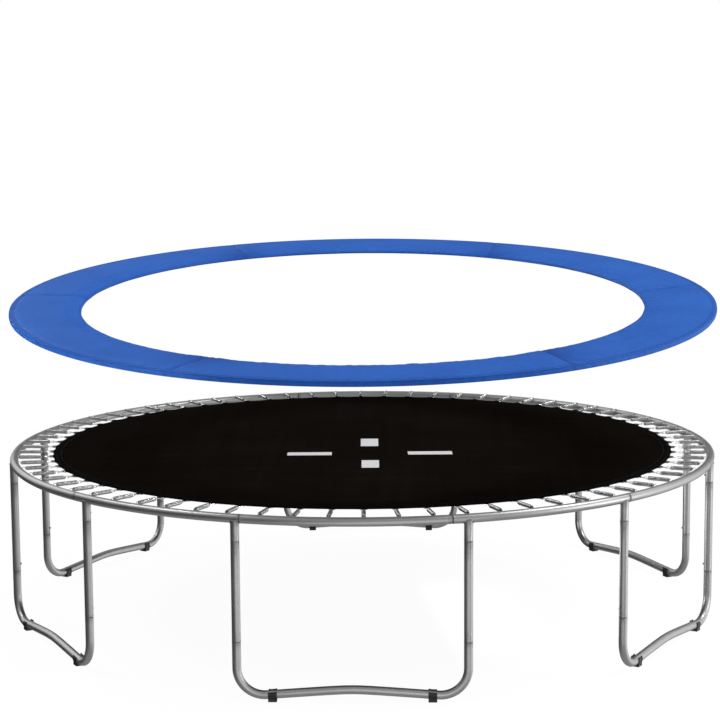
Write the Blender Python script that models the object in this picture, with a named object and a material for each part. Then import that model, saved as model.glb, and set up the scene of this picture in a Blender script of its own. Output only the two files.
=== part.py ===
"""Backyard trampoline, 3.66 m (12 ft) class.

A ring of twelve curved steel rails stands on six W-shaped tube legs.  A round
woven mat hangs inside the ring on 72 tension springs.  A padded ring is held
above the frame, lifted off the springs and tipped a little, and comes down
onto them.  Units are metres, +Z is up, the origin is on the ground under the
centre of the frame, and leg 1 faces -Y.
"""
import math

import bmesh
import bpy
from mathutils import Matrix, Vector

# ------------------------------------------------------------------ driving dimensions
FRAME_R = 1.809          # centreline radius of the top ring
FRAME_Z = 0.835          # height of that centreline
RAIL_TUBE_R = 0.021      # top rail tube, 42 mm
RAIL_BORE_R = 0.0193
RAIL_SWAGE_R = 0.0186    # reduced male end
RAIL_SWAGE_BORE_R = 0.0170
RAIL_SWAGE_DEG = 1.8     # length of the male end along the ring (57 mm)
SECTIONS = 12
LEGS = 6
SECTION_PHASE = -0.7     # degrees: the rails sit slightly round from the legs

POST_R = 1.813           # radius of the circle the posts stand on
POST_HALF_DEG = 16.6     # a leg's posts stand this far each side of its centre
LEG_TUBE_R = 0.020       # 40 mm leg tube
LEG_BORE_R = 0.0183
LEG_SWAGE_R = 0.0176
LEG_SWAGE_BORE_R = 0.0161
SWAGE_LEN = 0.065
Z_UPPER_JOINT = 0.733    # rail socket meets post
Z_LOWER_JOINT = 0.274    # post meets leg base
SOCKET_BORE_TOP = 0.8055

BASE_BEND_R = 0.125      # bend radius of the leg base
BASE_LOW_Z = 0.029       # lowest point of its centreline
BASE_ARCH_RISE = 0.024   # rise of the bottom run at mid length
FOOT_FROM_POST = 0.1594  # clip centre, measured along the leg from the post
FOOT_LEN = 0.039

MAT_Z = 0.8515           # mid plane of the mat and springs
MAT_T = 0.003
MAT_R = 1.5915
HEM_R = 1.613            # outer edge of the webbing hem
HEM_T = 0.004
SPRINGS_PER_SECTION = 6
RING_OUT_R = 1.654       # tip of the V ring
COIL_IN_R = 1.668        # coil body, inner end
COIL_OUT_R = 1.780       # coil body, outer end
COIL_HALF = 0.0085
HOOK_R = 1.803           # spring hook over the rail
HOOK_Z = 0.8615
RING_HALF_W = 0.017

PAD_OUT_R = 1.820
PAD_IN_R = 1.4545
PAD_T = 0.027
PAD_Z = 1.601            # underside of the lifted pad, at its centre
PAD_TILT_DEG = 5.3       # far side up
PAD_STEPS = 72

N_SIDE = 8

# ------------------------------------------------------------------ clean start
for _o in list(bpy.data.objects):
    bpy.data.objects.remove(_o, do_unlink=True)


# ------------------------------------------------------------------ materials
def material(name, rgb, rough, metal):
    m = bpy.data.materials.new(name)
    m.use_nodes = True
    b = m.node_tree.nodes["Principled BSDF"]
    b.inputs["Base Color"].default_value = (rgb[0], rgb[1], rgb[2], 1.0)
    b.inputs["Roughness"].default_value = rough
    b.inputs["Metallic"].default_value = metal
    m.diffuse_color = (rgb[0], rgb[1], rgb[2], 1.0)
    return m


STEEL = material("galvanised_steel", (0.52, 0.53, 0.54), 0.38, 0.9)
SPRING = material("zinc_spring", (0.72, 0.73, 0.74), 0.30, 0.95)
MAT = material("woven_mat", (0.012, 0.011, 0.011), 0.75, 0.0)
PAD = material("blue_cover", (0.05, 0.14, 0.52), 0.50, 0.0)
CLIP = material("black_plastic", (0.015, 0.015, 0.016), 0.55, 0.0)
TIE = material("black_webbing", (0.02, 0.02, 0.02), 0.85, 0.0)


# ------------------------------------------------------------------ mesh helpers
def mesh_from(name, verts, faces):
    """A mesh from lists, with its faces turned outward."""
    me = bpy.data.meshes.new(name)
    me.from_pydata([tuple(v) for v in verts], [], faces)
    bm = bmesh.new()
    bm.from_mesh(me)
    bmesh.ops.recalc_face_normals(bm, faces=bm.faces)
    bm.to_mesh(me)
    bm.free()
    me.validate()
    return me


def octagon(centre, axis_a, axis_b, radius, n=N_SIDE, turn=0.0):
    """Points round a tube section, with flats facing along both axes."""
    pts = []
    for i in range(n):
        a = math.radians(turn) + 2.0 * math.pi * (i + 0.5) / n
        pts.append(centre + axis_a * (radius * math.cos(a)) + axis_b * (radius * math.sin(a)))
    return pts


def loop_tube(name, rings):
    """Closed wall of a hollow tube: rings run out along the outside and back through the bore."""
    verts, faces = [], []
    n = len(rings[0])
    for r in rings:
        verts.extend(r)
    m = len(rings)
    for k in range(m):
        k2 = (k + 1) % m
        for i in range(n):
            j = (i + 1) % n
            faces.append((k * n + i, k * n + j, k2 * n + j, k2 * n + i))
    return mesh_from(name, verts, faces)


def solid_tube(name, rings):
    """Closed solid through a row of rings, with both ends filled."""
    verts, faces = [], []
    n = len(rings[0])
    for r in rings:
        verts.extend(r)
    for k in range(len(rings) - 1):
        for i in range(n):
            j = (i + 1) % n
            faces.append((k * n + i, k * n + j, (k + 1) * n + j, (k + 1) * n + i))
    faces.append(tuple(range(n - 1, -1, -1)))
    last = (len(rings) - 1) * n
    faces.append(tuple(range(last, last + n)))
    return mesh_from(name, verts, faces)


def place(name, me, mat, angle_deg=0.0, location=(0, 0, 0)):
    """A named object on a shared mesh, turned about the world Z axis."""
    if not me.materials:
        me.materials.append(mat)
    o = bpy.data.objects.new(name, me)
    o.rotation_euler = (0.0, 0.0, math.radians(angle_deg))
    o.location = location
    bpy.context.scene.collection.objects.link(o)
    return o


def smooth(me, deg=30.0):
    me.shade_smooth()
    me.set_sharp_from_angle(angle=math.radians(deg))


Z = Vector((0.0, 0.0, 1.0))


def polar(r, deg, z):
    a = math.radians(deg)
    return Vector((r * math.cos(a), r * math.sin(a), z))


def radial(deg):
    a = math.radians(deg)
    return Vector((math.cos(a), math.sin(a), 0.0))


# ------------------------------------------------------------------ top rails
GAP_DEG = math.degrees(0.0002 / FRAME_R)
HALF = 180.0 / SECTIONS
RAIL_STATIONS = [-HALF + GAP_DEG, -HALF + RAIL_SWAGE_DEG, -6.6, 0.0, 6.6,
                 HALF - RAIL_SWAGE_DEG, HALF - GAP_DEG]
SWAGE_END = HALF + RAIL_SWAGE_DEG - 2 * GAP_DEG


def rail_ring(deg, radius):
    return octagon(polar(FRAME_R, deg, FRAME_Z), radial(deg), Z, radius)


def plain_rail_mesh():
    rings = [rail_ring(d, RAIL_TUBE_R) for d in RAIL_STATIONS]
    rings.append(rail_ring(RAIL_STATIONS[-1], RAIL_SWAGE_R))
    rings.append(rail_ring(SWAGE_END, RAIL_SWAGE_R))
    rings.append(rail_ring(SWAGE_END, RAIL_SWAGE_BORE_R))
    rings.append(rail_ring(RAIL_STATIONS[-1], RAIL_SWAGE_BORE_R))
    rings.append(rail_ring(RAIL_STATIONS[-2], RAIL_BORE_R))
    rings += [rail_ring(d, RAIL_BORE_R) for d in reversed(RAIL_STATIONS[:-2])]
    return loop_tube("plain_rail", rings)


def leg_axes(leg_deg):
    """Axes of a leg's own section: across the leg, and along its chord."""
    return radial(leg_deg), radial(leg_deg + 90.0)


def cut_and_join(name, base, joins, cuts):
    """Union then difference, evaluated into one plain mesh."""
    obj = bpy.data.objects.new(name + "_work", base)
    bpy.context.scene.collection.objects.link(obj)
    helpers = []
    for op, group in (("UNION", joins), ("DIFFERENCE", cuts)):
        for i, me in enumerate(group):
            h = bpy.data.objects.new(f"{name}_{op.lower()}_{i}", me)
            h.hide_render = True
            h.display_type = "WIRE"
            bpy.context.scene.collection.objects.link(h)
            mod = obj.modifiers.new(f"{op.lower()}_{i}", "BOOLEAN")
            mod.operation = op
            mod.solver = "EXACT"
            mod.object = h
            helpers.append(h)
    dg = bpy.context.evaluated_depsgraph_get()
    dg.update()
    out = bpy.data.meshes.new_from_object(obj.evaluated_get(dg))
    out.name = name
    for h in helpers + [obj]:
        bpy.data.objects.remove(h, do_unlink=True)
    bm = bmesh.new()
    bm.from_mesh(out)
    bmesh.ops.remove_doubles(bm, verts=bm.verts, dist=0.00002)
    bmesh.ops.triangulate(bm, faces=bm.faces)
    bmesh.ops.recalc_face_normals(bm, faces=bm.faces)
    bm.to_mesh(out)
    bm.free()
    return out


def socket_rail_mesh():
    outer = [rail_ring(d, RAIL_TUBE_R) for d in RAIL_STATIONS]
    outer.append(rail_ring(RAIL_STATIONS[-1], RAIL_SWAGE_R))
    outer.append(rail_ring(SWAGE_END, RAIL_SWAGE_R))
    base = solid_tube("socket_rail_outer", outer)
    over = 0.6
    bore = [rail_ring(RAIL_STATIONS[0] - over, RAIL_BORE_R)]
    bore += [rail_ring(d, RAIL_BORE_R) for d in RAIL_STATIONS[1:-1]]
    bore.append(rail_ring(RAIL_STATIONS[-1], RAIL_SWAGE_BORE_R))
    bore.append(rail_ring(SWAGE_END + over, RAIL_SWAGE_BORE_R))
    # the first bore ring keeps the line of the first segment
    bore[0] = [p + (p - q) * (over / (RAIL_SWAGE_DEG - GAP_DEG)) for p, q in
               zip(rail_ring(RAIL_STATIONS[0], RAIL_BORE_R), rail_ring(RAIL_STATIONS[1], RAIL_BORE_R))]
    bore_me = solid_tube("socket_rail_bore", bore)
    joins, cuts = [], [bore_me]
    for leg_deg, side in ((30.0 - SECTION_PHASE, -1), (-30.0 - SECTION_PHASE, 1)):
        a, b = leg_axes(leg_deg)
        c = polar(POST_R, leg_deg + side * POST_HALF_DEG, 0.0)
        joins.append(solid_tube("socket_wall", [octagon(c + Z * z, a, b, LEG_TUBE_R)
                                                for z in (Z_UPPER_JOINT + 0.0002, FRAME_Z - 0.004)]))
        cuts.append(solid_tube("socket_bore", [octagon(c + Z * z, a, b, LEG_BORE_R)
                                               for z in (Z_UPPER_JOINT - 0.01, SOCKET_BORE_TOP)]))
    return cut_and_join("socket_rail", base, joins, cuts)


# ------------------------------------------------------------------ leg posts and bases
def post_mesh():
    """One straight post about the Z axis: open below, reduced end above."""
    a, b = Vector((1, 0, 0)), Vector((0, 1, 0))
    z0, z1, z2 = Z_LOWER_JOINT + 0.0002, Z_UPPER_JOINT - 0.0002, Z_UPPER_JOINT + SWAGE_LEN
    o = Vector((0, 0, 0))
    rings = [octagon(o + Z * z0, a, b, LEG_TUBE_R), octagon(o + Z * z1, a, b, LEG_TUBE_R),
             octagon(o + Z * z1, a, b, LEG_SWAGE_R), octagon(o + Z * z2, a, b, LEG_SWAGE_R),
             octagon(o + Z * z2, a, b, LEG_SWAGE_BORE_R), octagon(o + Z * z1, a, b, LEG_SWAGE_BORE_R),
             octagon(o + Z * (z1 - 0.02), a, b, LEG_BORE_R), octagon(o + Z * z0, a, b, LEG_BORE_R)]
    return loop_tube("leg_post", rings)


HALF_CHORD = POST_R * math.sin(math.radians(POST_HALF_DEG))
CHORD_X = POST_R * math.cos(math.radians(POST_HALF_DEG))


def base_arch():
    """Radius and end slope of the long shallow arch between the two bends."""
    end_u = BASE_BEND_R
    slope = 0.0
    for _ in range(20):
        u_end = BASE_BEND_R + BASE_BEND_R * math.sin(slope)
        z_end = BASE_BEND_R * (1.0 - math.cos(slope))
        half = HALF_CHORD - u_end
        rise = BASE_ARCH_RISE - z_end
        rad = (half * half + rise * rise) / (2.0 * rise)
        slope = math.asin(half / rad)
        end_u = u_end
    return end_u, rad, slope


ARCH_U, ARCH_R, ARCH_SLOPE = base_arch()


def base_path():
    """Centreline of a leg base from joint to joint, with its direction at each point."""
    pts = []
    s = -HALF_CHORD
    zc = BASE_LOW_Z + BASE_BEND_R
    pts.append((Vector((0, s, zc)), Vector((0, 0, -1))))
    total = 0.5 * math.pi + ARCH_SLOPE
    steps = 4
    for i in range(1, steps + 1):
        t = total * i / steps
        pts.append((Vector((0, s + BASE_BEND_R * (1 - math.cos(t)), zc - BASE_BEND_R * math.sin(t))),
                    Vector((0, math.sin(t), -math.cos(t)))))
    z_end = pts[-1][0].z
    half = HALF_CHORD - ARCH_U
    for f in (-0.5, 0.0, 0.5):
        u = half * f
        ang = math.asin(u / ARCH_R)
        zz = z_end + (math.sqrt(ARCH_R ** 2 - u * u) - math.sqrt(ARCH_R ** 2 - half * half))
        pts.append((Vector((0, u, zz)), Vector((0, math.cos(ang), -math.sin(ang)))))
    mirrored = []
    for p, d in reversed(pts[:steps + 1]):
        mirrored.append((Vector((0, -p.y, p.z)), Vector((0, d.y, -d.z))))
    return pts + mirrored


def base_mesh():
    path = base_path()
    across = Vector((1, 0, 0))

    def ring(p, d, r):
        return octagon(p, across, d.cross(across), r)

    down, up = Vector((0, 0, -1)), Vector((0, 0, 1))
    left = Vector((0, -HALF_CHORD, 0))
    right = Vector((0, HALF_CHORD, 0))
    zt, zj = Z_LOWER_JOINT + SWAGE_LEN, Z_LOWER_JOINT - 0.0002
    rings = [ring(left + Z * zt, down, LEG_SWAGE_R), ring(left + Z * zj, down, LEG_SWAGE_R),
             ring(left + Z * zj, down, LEG_TUBE_R)]
    rings += [ring(p, d, LEG_TUBE_R) for p, d in path]
    rings += [ring(right + Z * zj, up, LEG_TUBE_R), ring(right + Z * zj, up, LEG_SWAGE_R),
              ring(right + Z * zt, up, LEG_SWAGE_R), ring(right + Z * zt, up, LEG_SWAGE_BORE_R),
              ring(right + Z * zj, up, LEG_SWAGE_BORE_R)]
    rings += [ring(p, d, LEG_BORE_R) for p, d in reversed(path)]
    rings += [ring(left + Z * zj, down, LEG_SWAGE_BORE_R), ring(left + Z * zt, down, LEG_SWAGE_BORE_R)]
    me = loop_tube("leg_base", rings)
    me.transform(Matrix.Translation((CHORD_X, 0, 0)))
    return me


def arch_height(u):
    """Centreline height of the bottom run at a distance u from mid leg."""
    half = HALF_CHORD - ARCH_U
    z_end = BASE_LOW_Z + BASE_BEND_R * (1.0 - math.cos(ARCH_SLOPE))
    return z_end + math.sqrt(ARCH_R ** 2 - u * u) - math.sqrt(ARCH_R ** 2 - half * half)


def clip_mesh(side):
    """Snap-on foot: a C that grips the tube, on a flat-bottomed block."""
    inner, outer = 0.0212, 0.0243
    u_mid = HALF_CHORD - FOOT_FROM_POST
    rings = []
    for du in (-0.5 * FOOT_LEN, 0.5 * FOOT_LEN):
        u = side * (u_mid + du)
        # the bottom run is faceted here, so the clip follows the chord between its two path points
        half = HALF_CHORD - ARCH_U
        t = (half - abs(u)) / (0.5 * half)
        zc = arch_height(half) * (1 - t) + arch_height(0.5 * half) * t
        sec = []
        for deg in (22.5, -22.5, -67.5, -112.5, -157.5, -202.5):
            a = math.radians(deg)
            sec.append((inner * math.cos(a), zc + inner * math.sin(a)))
        for deg in (-202.5, -157.5):
            a = math.radians(deg)
            sec.append((outer * math.cos(a), zc + outer * math.sin(a)))
        sec += [(-0.018, 0.0), (0.018, 0.0)]
        for deg in (-22.5, 22.5):
            a = math.radians(deg)
            sec.append((outer * math.cos(a), zc + outer * math.sin(a)))
        rings.append([Vector((CHORD_X + x, u, z)) for x, z in sec])
    return solid_tube("foot_clip", rings)


# ------------------------------------------------------------------ mat, springs and pad
def disc_mesh(name, radius, z0, z1, steps):
    lo = [polar(radius, 360.0 * i / steps, z0) for i in range(steps)]
    hi = [polar(radius, 360.0 * i / steps, z1) for i in range(steps)]
    return solid_tube(name, [lo, hi])


def spring_bank_mesh():
    """Webbing hem of one section with its V rings and six springs, as one solid."""
    pitch = 2 * HALF / SPRINGS_PER_SECTION
    half_w = math.degrees(RING_HALF_W / HEM_R)
    cuts = [-HALF + math.degrees(0.0002 / HEM_R)]
    is_spring = []
    for i in range(SPRINGS_PER_SECTION):
        c = -HALF + pitch * (i + 0.5)
        is_spring += [None, c]
        cuts += [c - half_w, c + half_w]
    is_spring.append(None)
    cuts.append(HALF - math.degrees(0.0002 / HEM_R))
    zl, zh = MAT_Z - 0.5 * HEM_T, MAT_Z + 0.5 * HEM_T
    inner_r = MAT_R + 0.0016
    verts, faces = [], []
    for d in cuts:
        verts += [polar(inner_r, d, zl), polar(inner_r, d, zh), polar(HEM_R, d, zh), polar(HEM_R, d, zl)]
    for k in range(len(cuts) - 1):
        a, b = 4 * k, 4 * (k + 1)
        faces.append((a, b, b + 1, a + 1))
        faces.append((a + 1, b + 1, b + 2, a + 2))
        faces.append((a + 3, a, b, b + 3)[::-1])
        if is_spring[k] is None:
            faces.append((a + 2, b + 2, b + 3, a + 3))
            continue
        c = is_spring[k]
        rad, tan = radial(c), radial(c + 90.0)
        last = [a + 2, b + 2, b + 3, a + 3]

        def quad(r, z, hw, hz):
            base = len(verts)
            m = rad * r + Z * z
            verts.extend([m - tan * hw + Z * hz, m + tan * hw + Z * hz, m + tan * hw - Z * hz, m - tan * hw - Z * hz])
            return [base, base + 1, base + 2, base + 3]

        for r, z, hw, hz in ((RING_OUT_R, MAT_Z, 0.003, 0.003),
                             (COIL_IN_R, MAT_Z, COIL_HALF, COIL_HALF),
                             (COIL_OUT_R, MAT_Z, COIL_HALF, COIL_HALF),
                             (HOOK_R, HOOK_Z, 0.002, 0.002)):
            new = quad(r, z, hw, hz)
            for i in range(4):
                j = (i + 1) % 4
                faces.append((last[i], last[j], new[j], new[i]))
            last = new
        faces.append(tuple(last))
    n = 4 * (len(cuts) - 1)
    faces.append((0, 1, 2, 3))
    faces.append((n, n + 1, n + 2, n + 3)[::-1])
    return mesh_from("spring_bank", verts, faces)


def pad_mesh():
    """Padded ring about its own centre, with its underside on z = 0."""
    e = 0.006
    sec = [(PAD_IN_R, 0.0), (PAD_OUT_R - e, 0.0), (PAD_OUT_R, e), (PAD_OUT_R, PAD_T - e),
           (PAD_OUT_R - e, PAD_T), (PAD_IN_R, PAD_T)]
    rings = []
    for i in range(PAD_STEPS):
        d = 360.0 * i / PAD_STEPS
        rings.append([polar(r, d, z) for r, z in sec])
    return loop_tube("pad_ring", rings)


def tie_mesh():
    """Flat webbing tie under the pad, with its length along the ring's radius."""
    verts = []
    for z in (-0.0033, -0.0018):
        for x, y in ((-0.050, -0.010), (0.050, -0.010), (0.056, 0.0), (0.050, 0.010), (-0.050, 0.010), (-0.056, 0.0)):
            verts.append(Vector((x, y, z)))
    return solid_tube("pad_tie", [verts[:6], verts[6:]])


# ------------------------------------------------------------------ assembly
plain_me, socket_me = plain_rail_mesh(), socket_rail_mesh()
post_me, base_me = post_mesh(), base_mesh()
bank_me = spring_bank_mesh()
clip_mes = {-1: clip_mesh(-1), 1: clip_mesh(1)}

for k in range(LEGS):
    leg_deg = -90.0 + 60.0 * k
    place(f"rail_plain_{k + 1}", plain_me, STEEL, leg_deg + SECTION_PHASE)
    place(f"rail_socket_{k + 1}", socket_me, STEEL, leg_deg + 30.0 + SECTION_PHASE)
    place(f"leg_base_{k + 1}", base_me, STEEL, leg_deg)
    for s, side in ((0, -1), (1, 1)):
        n = 2 * k + s + 1
        place(f"leg_post_{n:02d}", post_me, STEEL, leg_deg,
              polar(POST_R, leg_deg + side * POST_HALF_DEG, 0.0))
        place(f"foot_clip_{n:02d}", clip_mes[side], CLIP, leg_deg)

for k in range(SECTIONS):
    place(f"spring_bank_{k + 1:02d}", bank_me, SPRING, -90.0 + SECTION_PHASE + 30.0 * k)

mat_me = disc_mesh("jumping_mat", MAT_R, MAT_Z - 0.5 * MAT_T, MAT_Z + 0.5 * MAT_T, 72)
place("jumping_mat", mat_me, MAT)

# the pad turns about a level line through its two side ties, so an empty stands on that line
tilt_axis = bpy.data.objects.new("pad_tilt_axis", None)
tilt_axis.location = (0.0, 0.0, PAD_Z)
tilt_axis.rotation_euler = (math.radians(PAD_TILT_DEG), 0.0, 0.0)
bpy.context.scene.collection.objects.link(tilt_axis)
pad = place("pad_ring", pad_mesh(), PAD)
pad.parent = tilt_axis
tie_me = tie_mesh()
place("pad_tie_right", tie_me, TIE, 0.0, (1.64, 0.0, PAD_Z))
place("pad_tie_left", tie_me, TIE, 180.0, (-1.64, 0.0, PAD_Z))

for me in (plain_me, socket_me, post_me, base_me, pad.data):
    smooth(me, 50.0)
for me in list(clip_mes.values()) + [bank_me, mat_me, tie_me]:
    smooth(me, 30.0)
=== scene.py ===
"""Looks for the backyard trampoline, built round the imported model.

Everything is in metres in the part's own frame: +Z up, origin on the ground
under the middle of the frame, leg 1 towards -Y.
"""
import math
import random

import bmesh
import bpy
import numpy as np
from mathutils import Matrix, Vector


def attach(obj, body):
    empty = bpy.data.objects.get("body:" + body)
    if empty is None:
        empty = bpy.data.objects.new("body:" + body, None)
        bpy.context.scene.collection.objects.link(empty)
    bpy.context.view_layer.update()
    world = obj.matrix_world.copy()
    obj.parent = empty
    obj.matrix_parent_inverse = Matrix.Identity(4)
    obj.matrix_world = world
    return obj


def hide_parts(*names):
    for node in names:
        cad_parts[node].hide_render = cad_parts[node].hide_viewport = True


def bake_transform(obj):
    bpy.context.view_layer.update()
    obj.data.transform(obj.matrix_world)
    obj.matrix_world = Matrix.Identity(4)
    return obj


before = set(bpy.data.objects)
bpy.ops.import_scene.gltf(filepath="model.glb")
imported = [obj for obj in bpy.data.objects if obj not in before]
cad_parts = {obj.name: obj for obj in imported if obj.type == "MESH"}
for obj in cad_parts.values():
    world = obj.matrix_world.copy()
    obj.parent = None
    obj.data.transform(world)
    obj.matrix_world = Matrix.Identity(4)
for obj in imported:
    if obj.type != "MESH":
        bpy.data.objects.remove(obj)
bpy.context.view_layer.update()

# ------------------------------------------------------------------ sizes shared with the CAD model
FRAME_R, FRAME_Z = 1.809, 0.835
RAIL_R, RAIL_BORE, RAIL_SWAGE = 0.021, 0.0193, 0.0186
SECTIONS, LEGS = 12, 6
PHASE = -0.7
POST_R, POST_HALF = 1.813, 16.6
TUBE_R, TUBE_BORE, TUBE_SWAGE = 0.020, 0.0183, 0.0176
Z_UPPER, Z_LOWER = 0.733, 0.274
BEND_R, BASE_LOW_Z, ARCH_RISE = 0.125, 0.029, 0.024
FOOT_FROM_POST, FOOT_LEN = 0.1594, 0.039
MAT_Z = 0.8515
HEM_R = 1.613
RING_TIP_R = 1.6545
PAD_OUT, PAD_IN, PAD_T = 1.820, 1.4545, 0.027
PAD_Z, PAD_TILT = 1.601, 5.3

RNG = random.Random(20)


def pol(r, deg, z=0.0):
    a = math.radians(deg)
    return np.array([r * math.cos(a), r * math.sin(a), z])


def turn_z(verts, deg):
    c, s = math.cos(math.radians(deg)), math.sin(math.radians(deg))
    v = np.asarray(verts, float)
    return np.stack([v[:, 0] * c - v[:, 1] * s, v[:, 0] * s + v[:, 1] * c, v[:, 2]], 1)


# ------------------------------------------------------------------ materials
def new_material(name, rgb, rough, metal=0.0, **uniform):
    m = bpy.data.materials.new(name)
    m.use_nodes = True
    nt = m.node_tree
    b = nt.nodes["Principled BSDF"]
    b.inputs["Base Color"].default_value = (*rgb, 1.0)
    b.inputs["Roughness"].default_value = rough
    b.inputs["Metallic"].default_value = metal
    for k, v in uniform.items():
        b.inputs[k.replace("_", " ")].default_value = v
    m.diffuse_color = (*rgb, 1.0)
    return m, nt, b


class Nodes:
    """Short names for the few node types used here."""

    def __init__(self, nt):
        self.nt = nt
        self.coord = nt.nodes.new("ShaderNodeTexCoord").outputs["Object"]

    def link(self, a, b):
        self.nt.links.new(a, b)

    def scaled(self, s):
        n = self.nt.nodes.new("ShaderNodeMapping")
        n.inputs["Scale"].default_value = s
        self.link(self.coord, n.inputs["Vector"])
        return n.outputs["Vector"]

    def noise(self, scale, detail=3.0, rough=0.55, vector=None, distortion=0.0):
        n = self.nt.nodes.new("ShaderNodeTexNoise")
        n.inputs["Scale"].default_value = scale
        n.inputs["Detail"].default_value = detail
        n.inputs["Roughness"].default_value = rough
        n.inputs["Distortion"].default_value = distortion
        self.link(vector or self.coord, n.inputs["Vector"])
        return n.outputs["Fac"]

    def voronoi(self, scale, feature="F1", out="Distance", vector=None, randomness=1.0):
        n = self.nt.nodes.new("ShaderNodeTexVoronoi")
        n.feature = feature
        n.inputs["Scale"].default_value = scale
        n.inputs["Randomness"].default_value = randomness
        self.link(vector or self.coord, n.inputs["Vector"])
        return n.outputs[out]

    def wave(self, scale, axis="X", profile="SIN", distortion=0.0, vector=None):
        n = self.nt.nodes.new("ShaderNodeTexWave")
        n.wave_type = "BANDS"
        n.bands_direction = axis
        n.wave_profile = profile
        n.inputs["Scale"].default_value = scale
        n.inputs["Distortion"].default_value = distortion
        n.inputs["Detail"].default_value = 1.0
        self.link(vector or self.coord, n.inputs["Vector"])
        return n.outputs["Fac"]

    def math(self, op, a, b=None, clamp=False):
        n = self.nt.nodes.new("ShaderNodeMath")
        n.operation = op
        n.use_clamp = clamp
        for i, x in enumerate((a, b)):
            if x is None:
                continue
            if isinstance(x, (int, float)):
                n.inputs[i].default_value = x
            else:
                self.link(x, n.inputs[i])
        return n.outputs[0]

    def remap(self, x, lo, hi, to_lo, to_hi, smooth=False):
        n = self.nt.nodes.new("ShaderNodeMapRange")
        n.interpolation_type = "SMOOTHSTEP" if smooth else "LINEAR"
        n.clamp = True
        self.link(x, n.inputs["Value"])
        for key, v in (("From Min", lo), ("From Max", hi), ("To Min", to_lo), ("To Max", to_hi)):
            n.inputs[key].default_value = v
        return n.outputs["Result"]

    def ramp(self, x, *stops):
        n = self.nt.nodes.new("ShaderNodeValToRGB")
        r = n.color_ramp
        while len(r.elements) < len(stops):
            r.elements.new(0.5)
        for e, (p, c) in zip(r.elements, stops):
            e.position = p
            e.color = (*c, 1.0)
        self.link(x, n.inputs["Fac"])
        return n.outputs["Color"]

    def mix(self, fac, a, b, blend="MIX"):
        n = self.nt.nodes.new("ShaderNodeMix")
        n.data_type = "RGBA"
        n.blend_type = blend
        for key, x in (("Factor", fac), ("A", a), ("B", b)):
            sock = [s for s in n.inputs if s.name == key and s.enabled][0] if key != "Factor" else n.inputs[0]
            if isinstance(x, (int, float)):
                sock.default_value = x
            elif isinstance(x, tuple):
                sock.default_value = (*x, 1.0)
            else:
                self.link(x, sock)
        return [s for s in n.outputs if s.enabled and s.type == "RGBA"][0]

    def attribute(self, name):
        n = self.nt.nodes.new("ShaderNodeAttribute")
        n.attribute_name = name
        return n.outputs["Fac"]

    def bump(self, height, strength, distance, normal=None):
        n = self.nt.nodes.new("ShaderNodeBump")
        n.inputs["Strength"].default_value = strength
        n.inputs["Distance"].default_value = distance
        self.link(height, n.inputs["Height"])
        if normal is not None:
            self.link(normal, n.inputs["Normal"])
        return n.outputs["Normal"]


def steel_material():
    m, nt, b = new_material("galvanised_steel", (0.40, 0.40, 0.405), 0.42, 0.92)
    n = Nodes(nt)
    spangle = n.voronoi(120.0, out="Color")
    sp = nt.nodes.new("ShaderNodeSeparateColor")
    n.link(spangle, sp.inputs[0])
    cloud = n.noise(7.0, 4.0, 0.55)
    fine = n.noise(420.0, 3.0, 0.6)
    tone = n.math("ADD", n.math("MULTIPLY", sp.outputs[0], 0.16), n.math("MULTIPLY", cloud, 0.84))
    col = n.ramp(tone, (0.28, (0.372, 0.373, 0.378)), (0.55, (0.400, 0.401, 0.404)), (0.82, (0.428, 0.428, 0.428)))
    # darker where the mask is high: grime near the tube joints and hook holes, and painted shade down in the rail joint
    # gaps
    wear_and_shade = n.attribute("wear_and_shade")
    grime_and_gap_shade = n.math("MULTIPLY", wear_and_shade, n.remap(n.noise(60.0, 4.0, 0.7), 0.35, 0.65, 0.45, 1.0))
    col = n.mix(grime_and_gap_shade, col, (0.055, 0.050, 0.046))
    n.link(col, b.inputs["Base Color"])
    rough = n.remap(cloud, 0.3, 0.7, 0.37, 0.45)
    rough = n.math("ADD", rough, n.math("MULTIPLY", grime_and_gap_shade, 0.20), clamp=True)
    n.link(rough, b.inputs["Roughness"])
    n.link(n.bump(fine, 0.10, 0.00025), b.inputs["Normal"])
    return m


def weld_material():
    m, nt, b = new_material("weld_bead", (0.33, 0.33, 0.335), 0.45, 0.85)
    n = Nodes(nt)
    spot = n.noise(160.0, 4.0, 0.6)
    n.link(n.ramp(spot, (0.3, (0.20, 0.195, 0.19)), (0.7, (0.44, 0.44, 0.445))), b.inputs["Base Color"])
    n.link(n.remap(spot, 0.3, 0.7, 0.52, 0.36), b.inputs["Roughness"])
    n.link(n.bump(n.noise(500.0, 3.0), 0.5, 0.0005), b.inputs["Normal"])
    return m


def zinc_material(name, lo, hi, rough_lo, rough_hi):
    m, nt, b = new_material(name, hi, rough_lo, 1.0)
    n = Nodes(nt)
    a = n.noise(70.0, 4.0, 0.6)
    n.link(n.ramp(a, (0.3, lo), (0.68, hi)), b.inputs["Base Color"])
    n.link(n.remap(a, 0.3, 0.7, rough_hi, rough_lo), b.inputs["Roughness"])
    n.link(n.bump(n.noise(900.0, 2.0), 0.15, 0.0003), b.inputs["Normal"])
    return m


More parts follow.
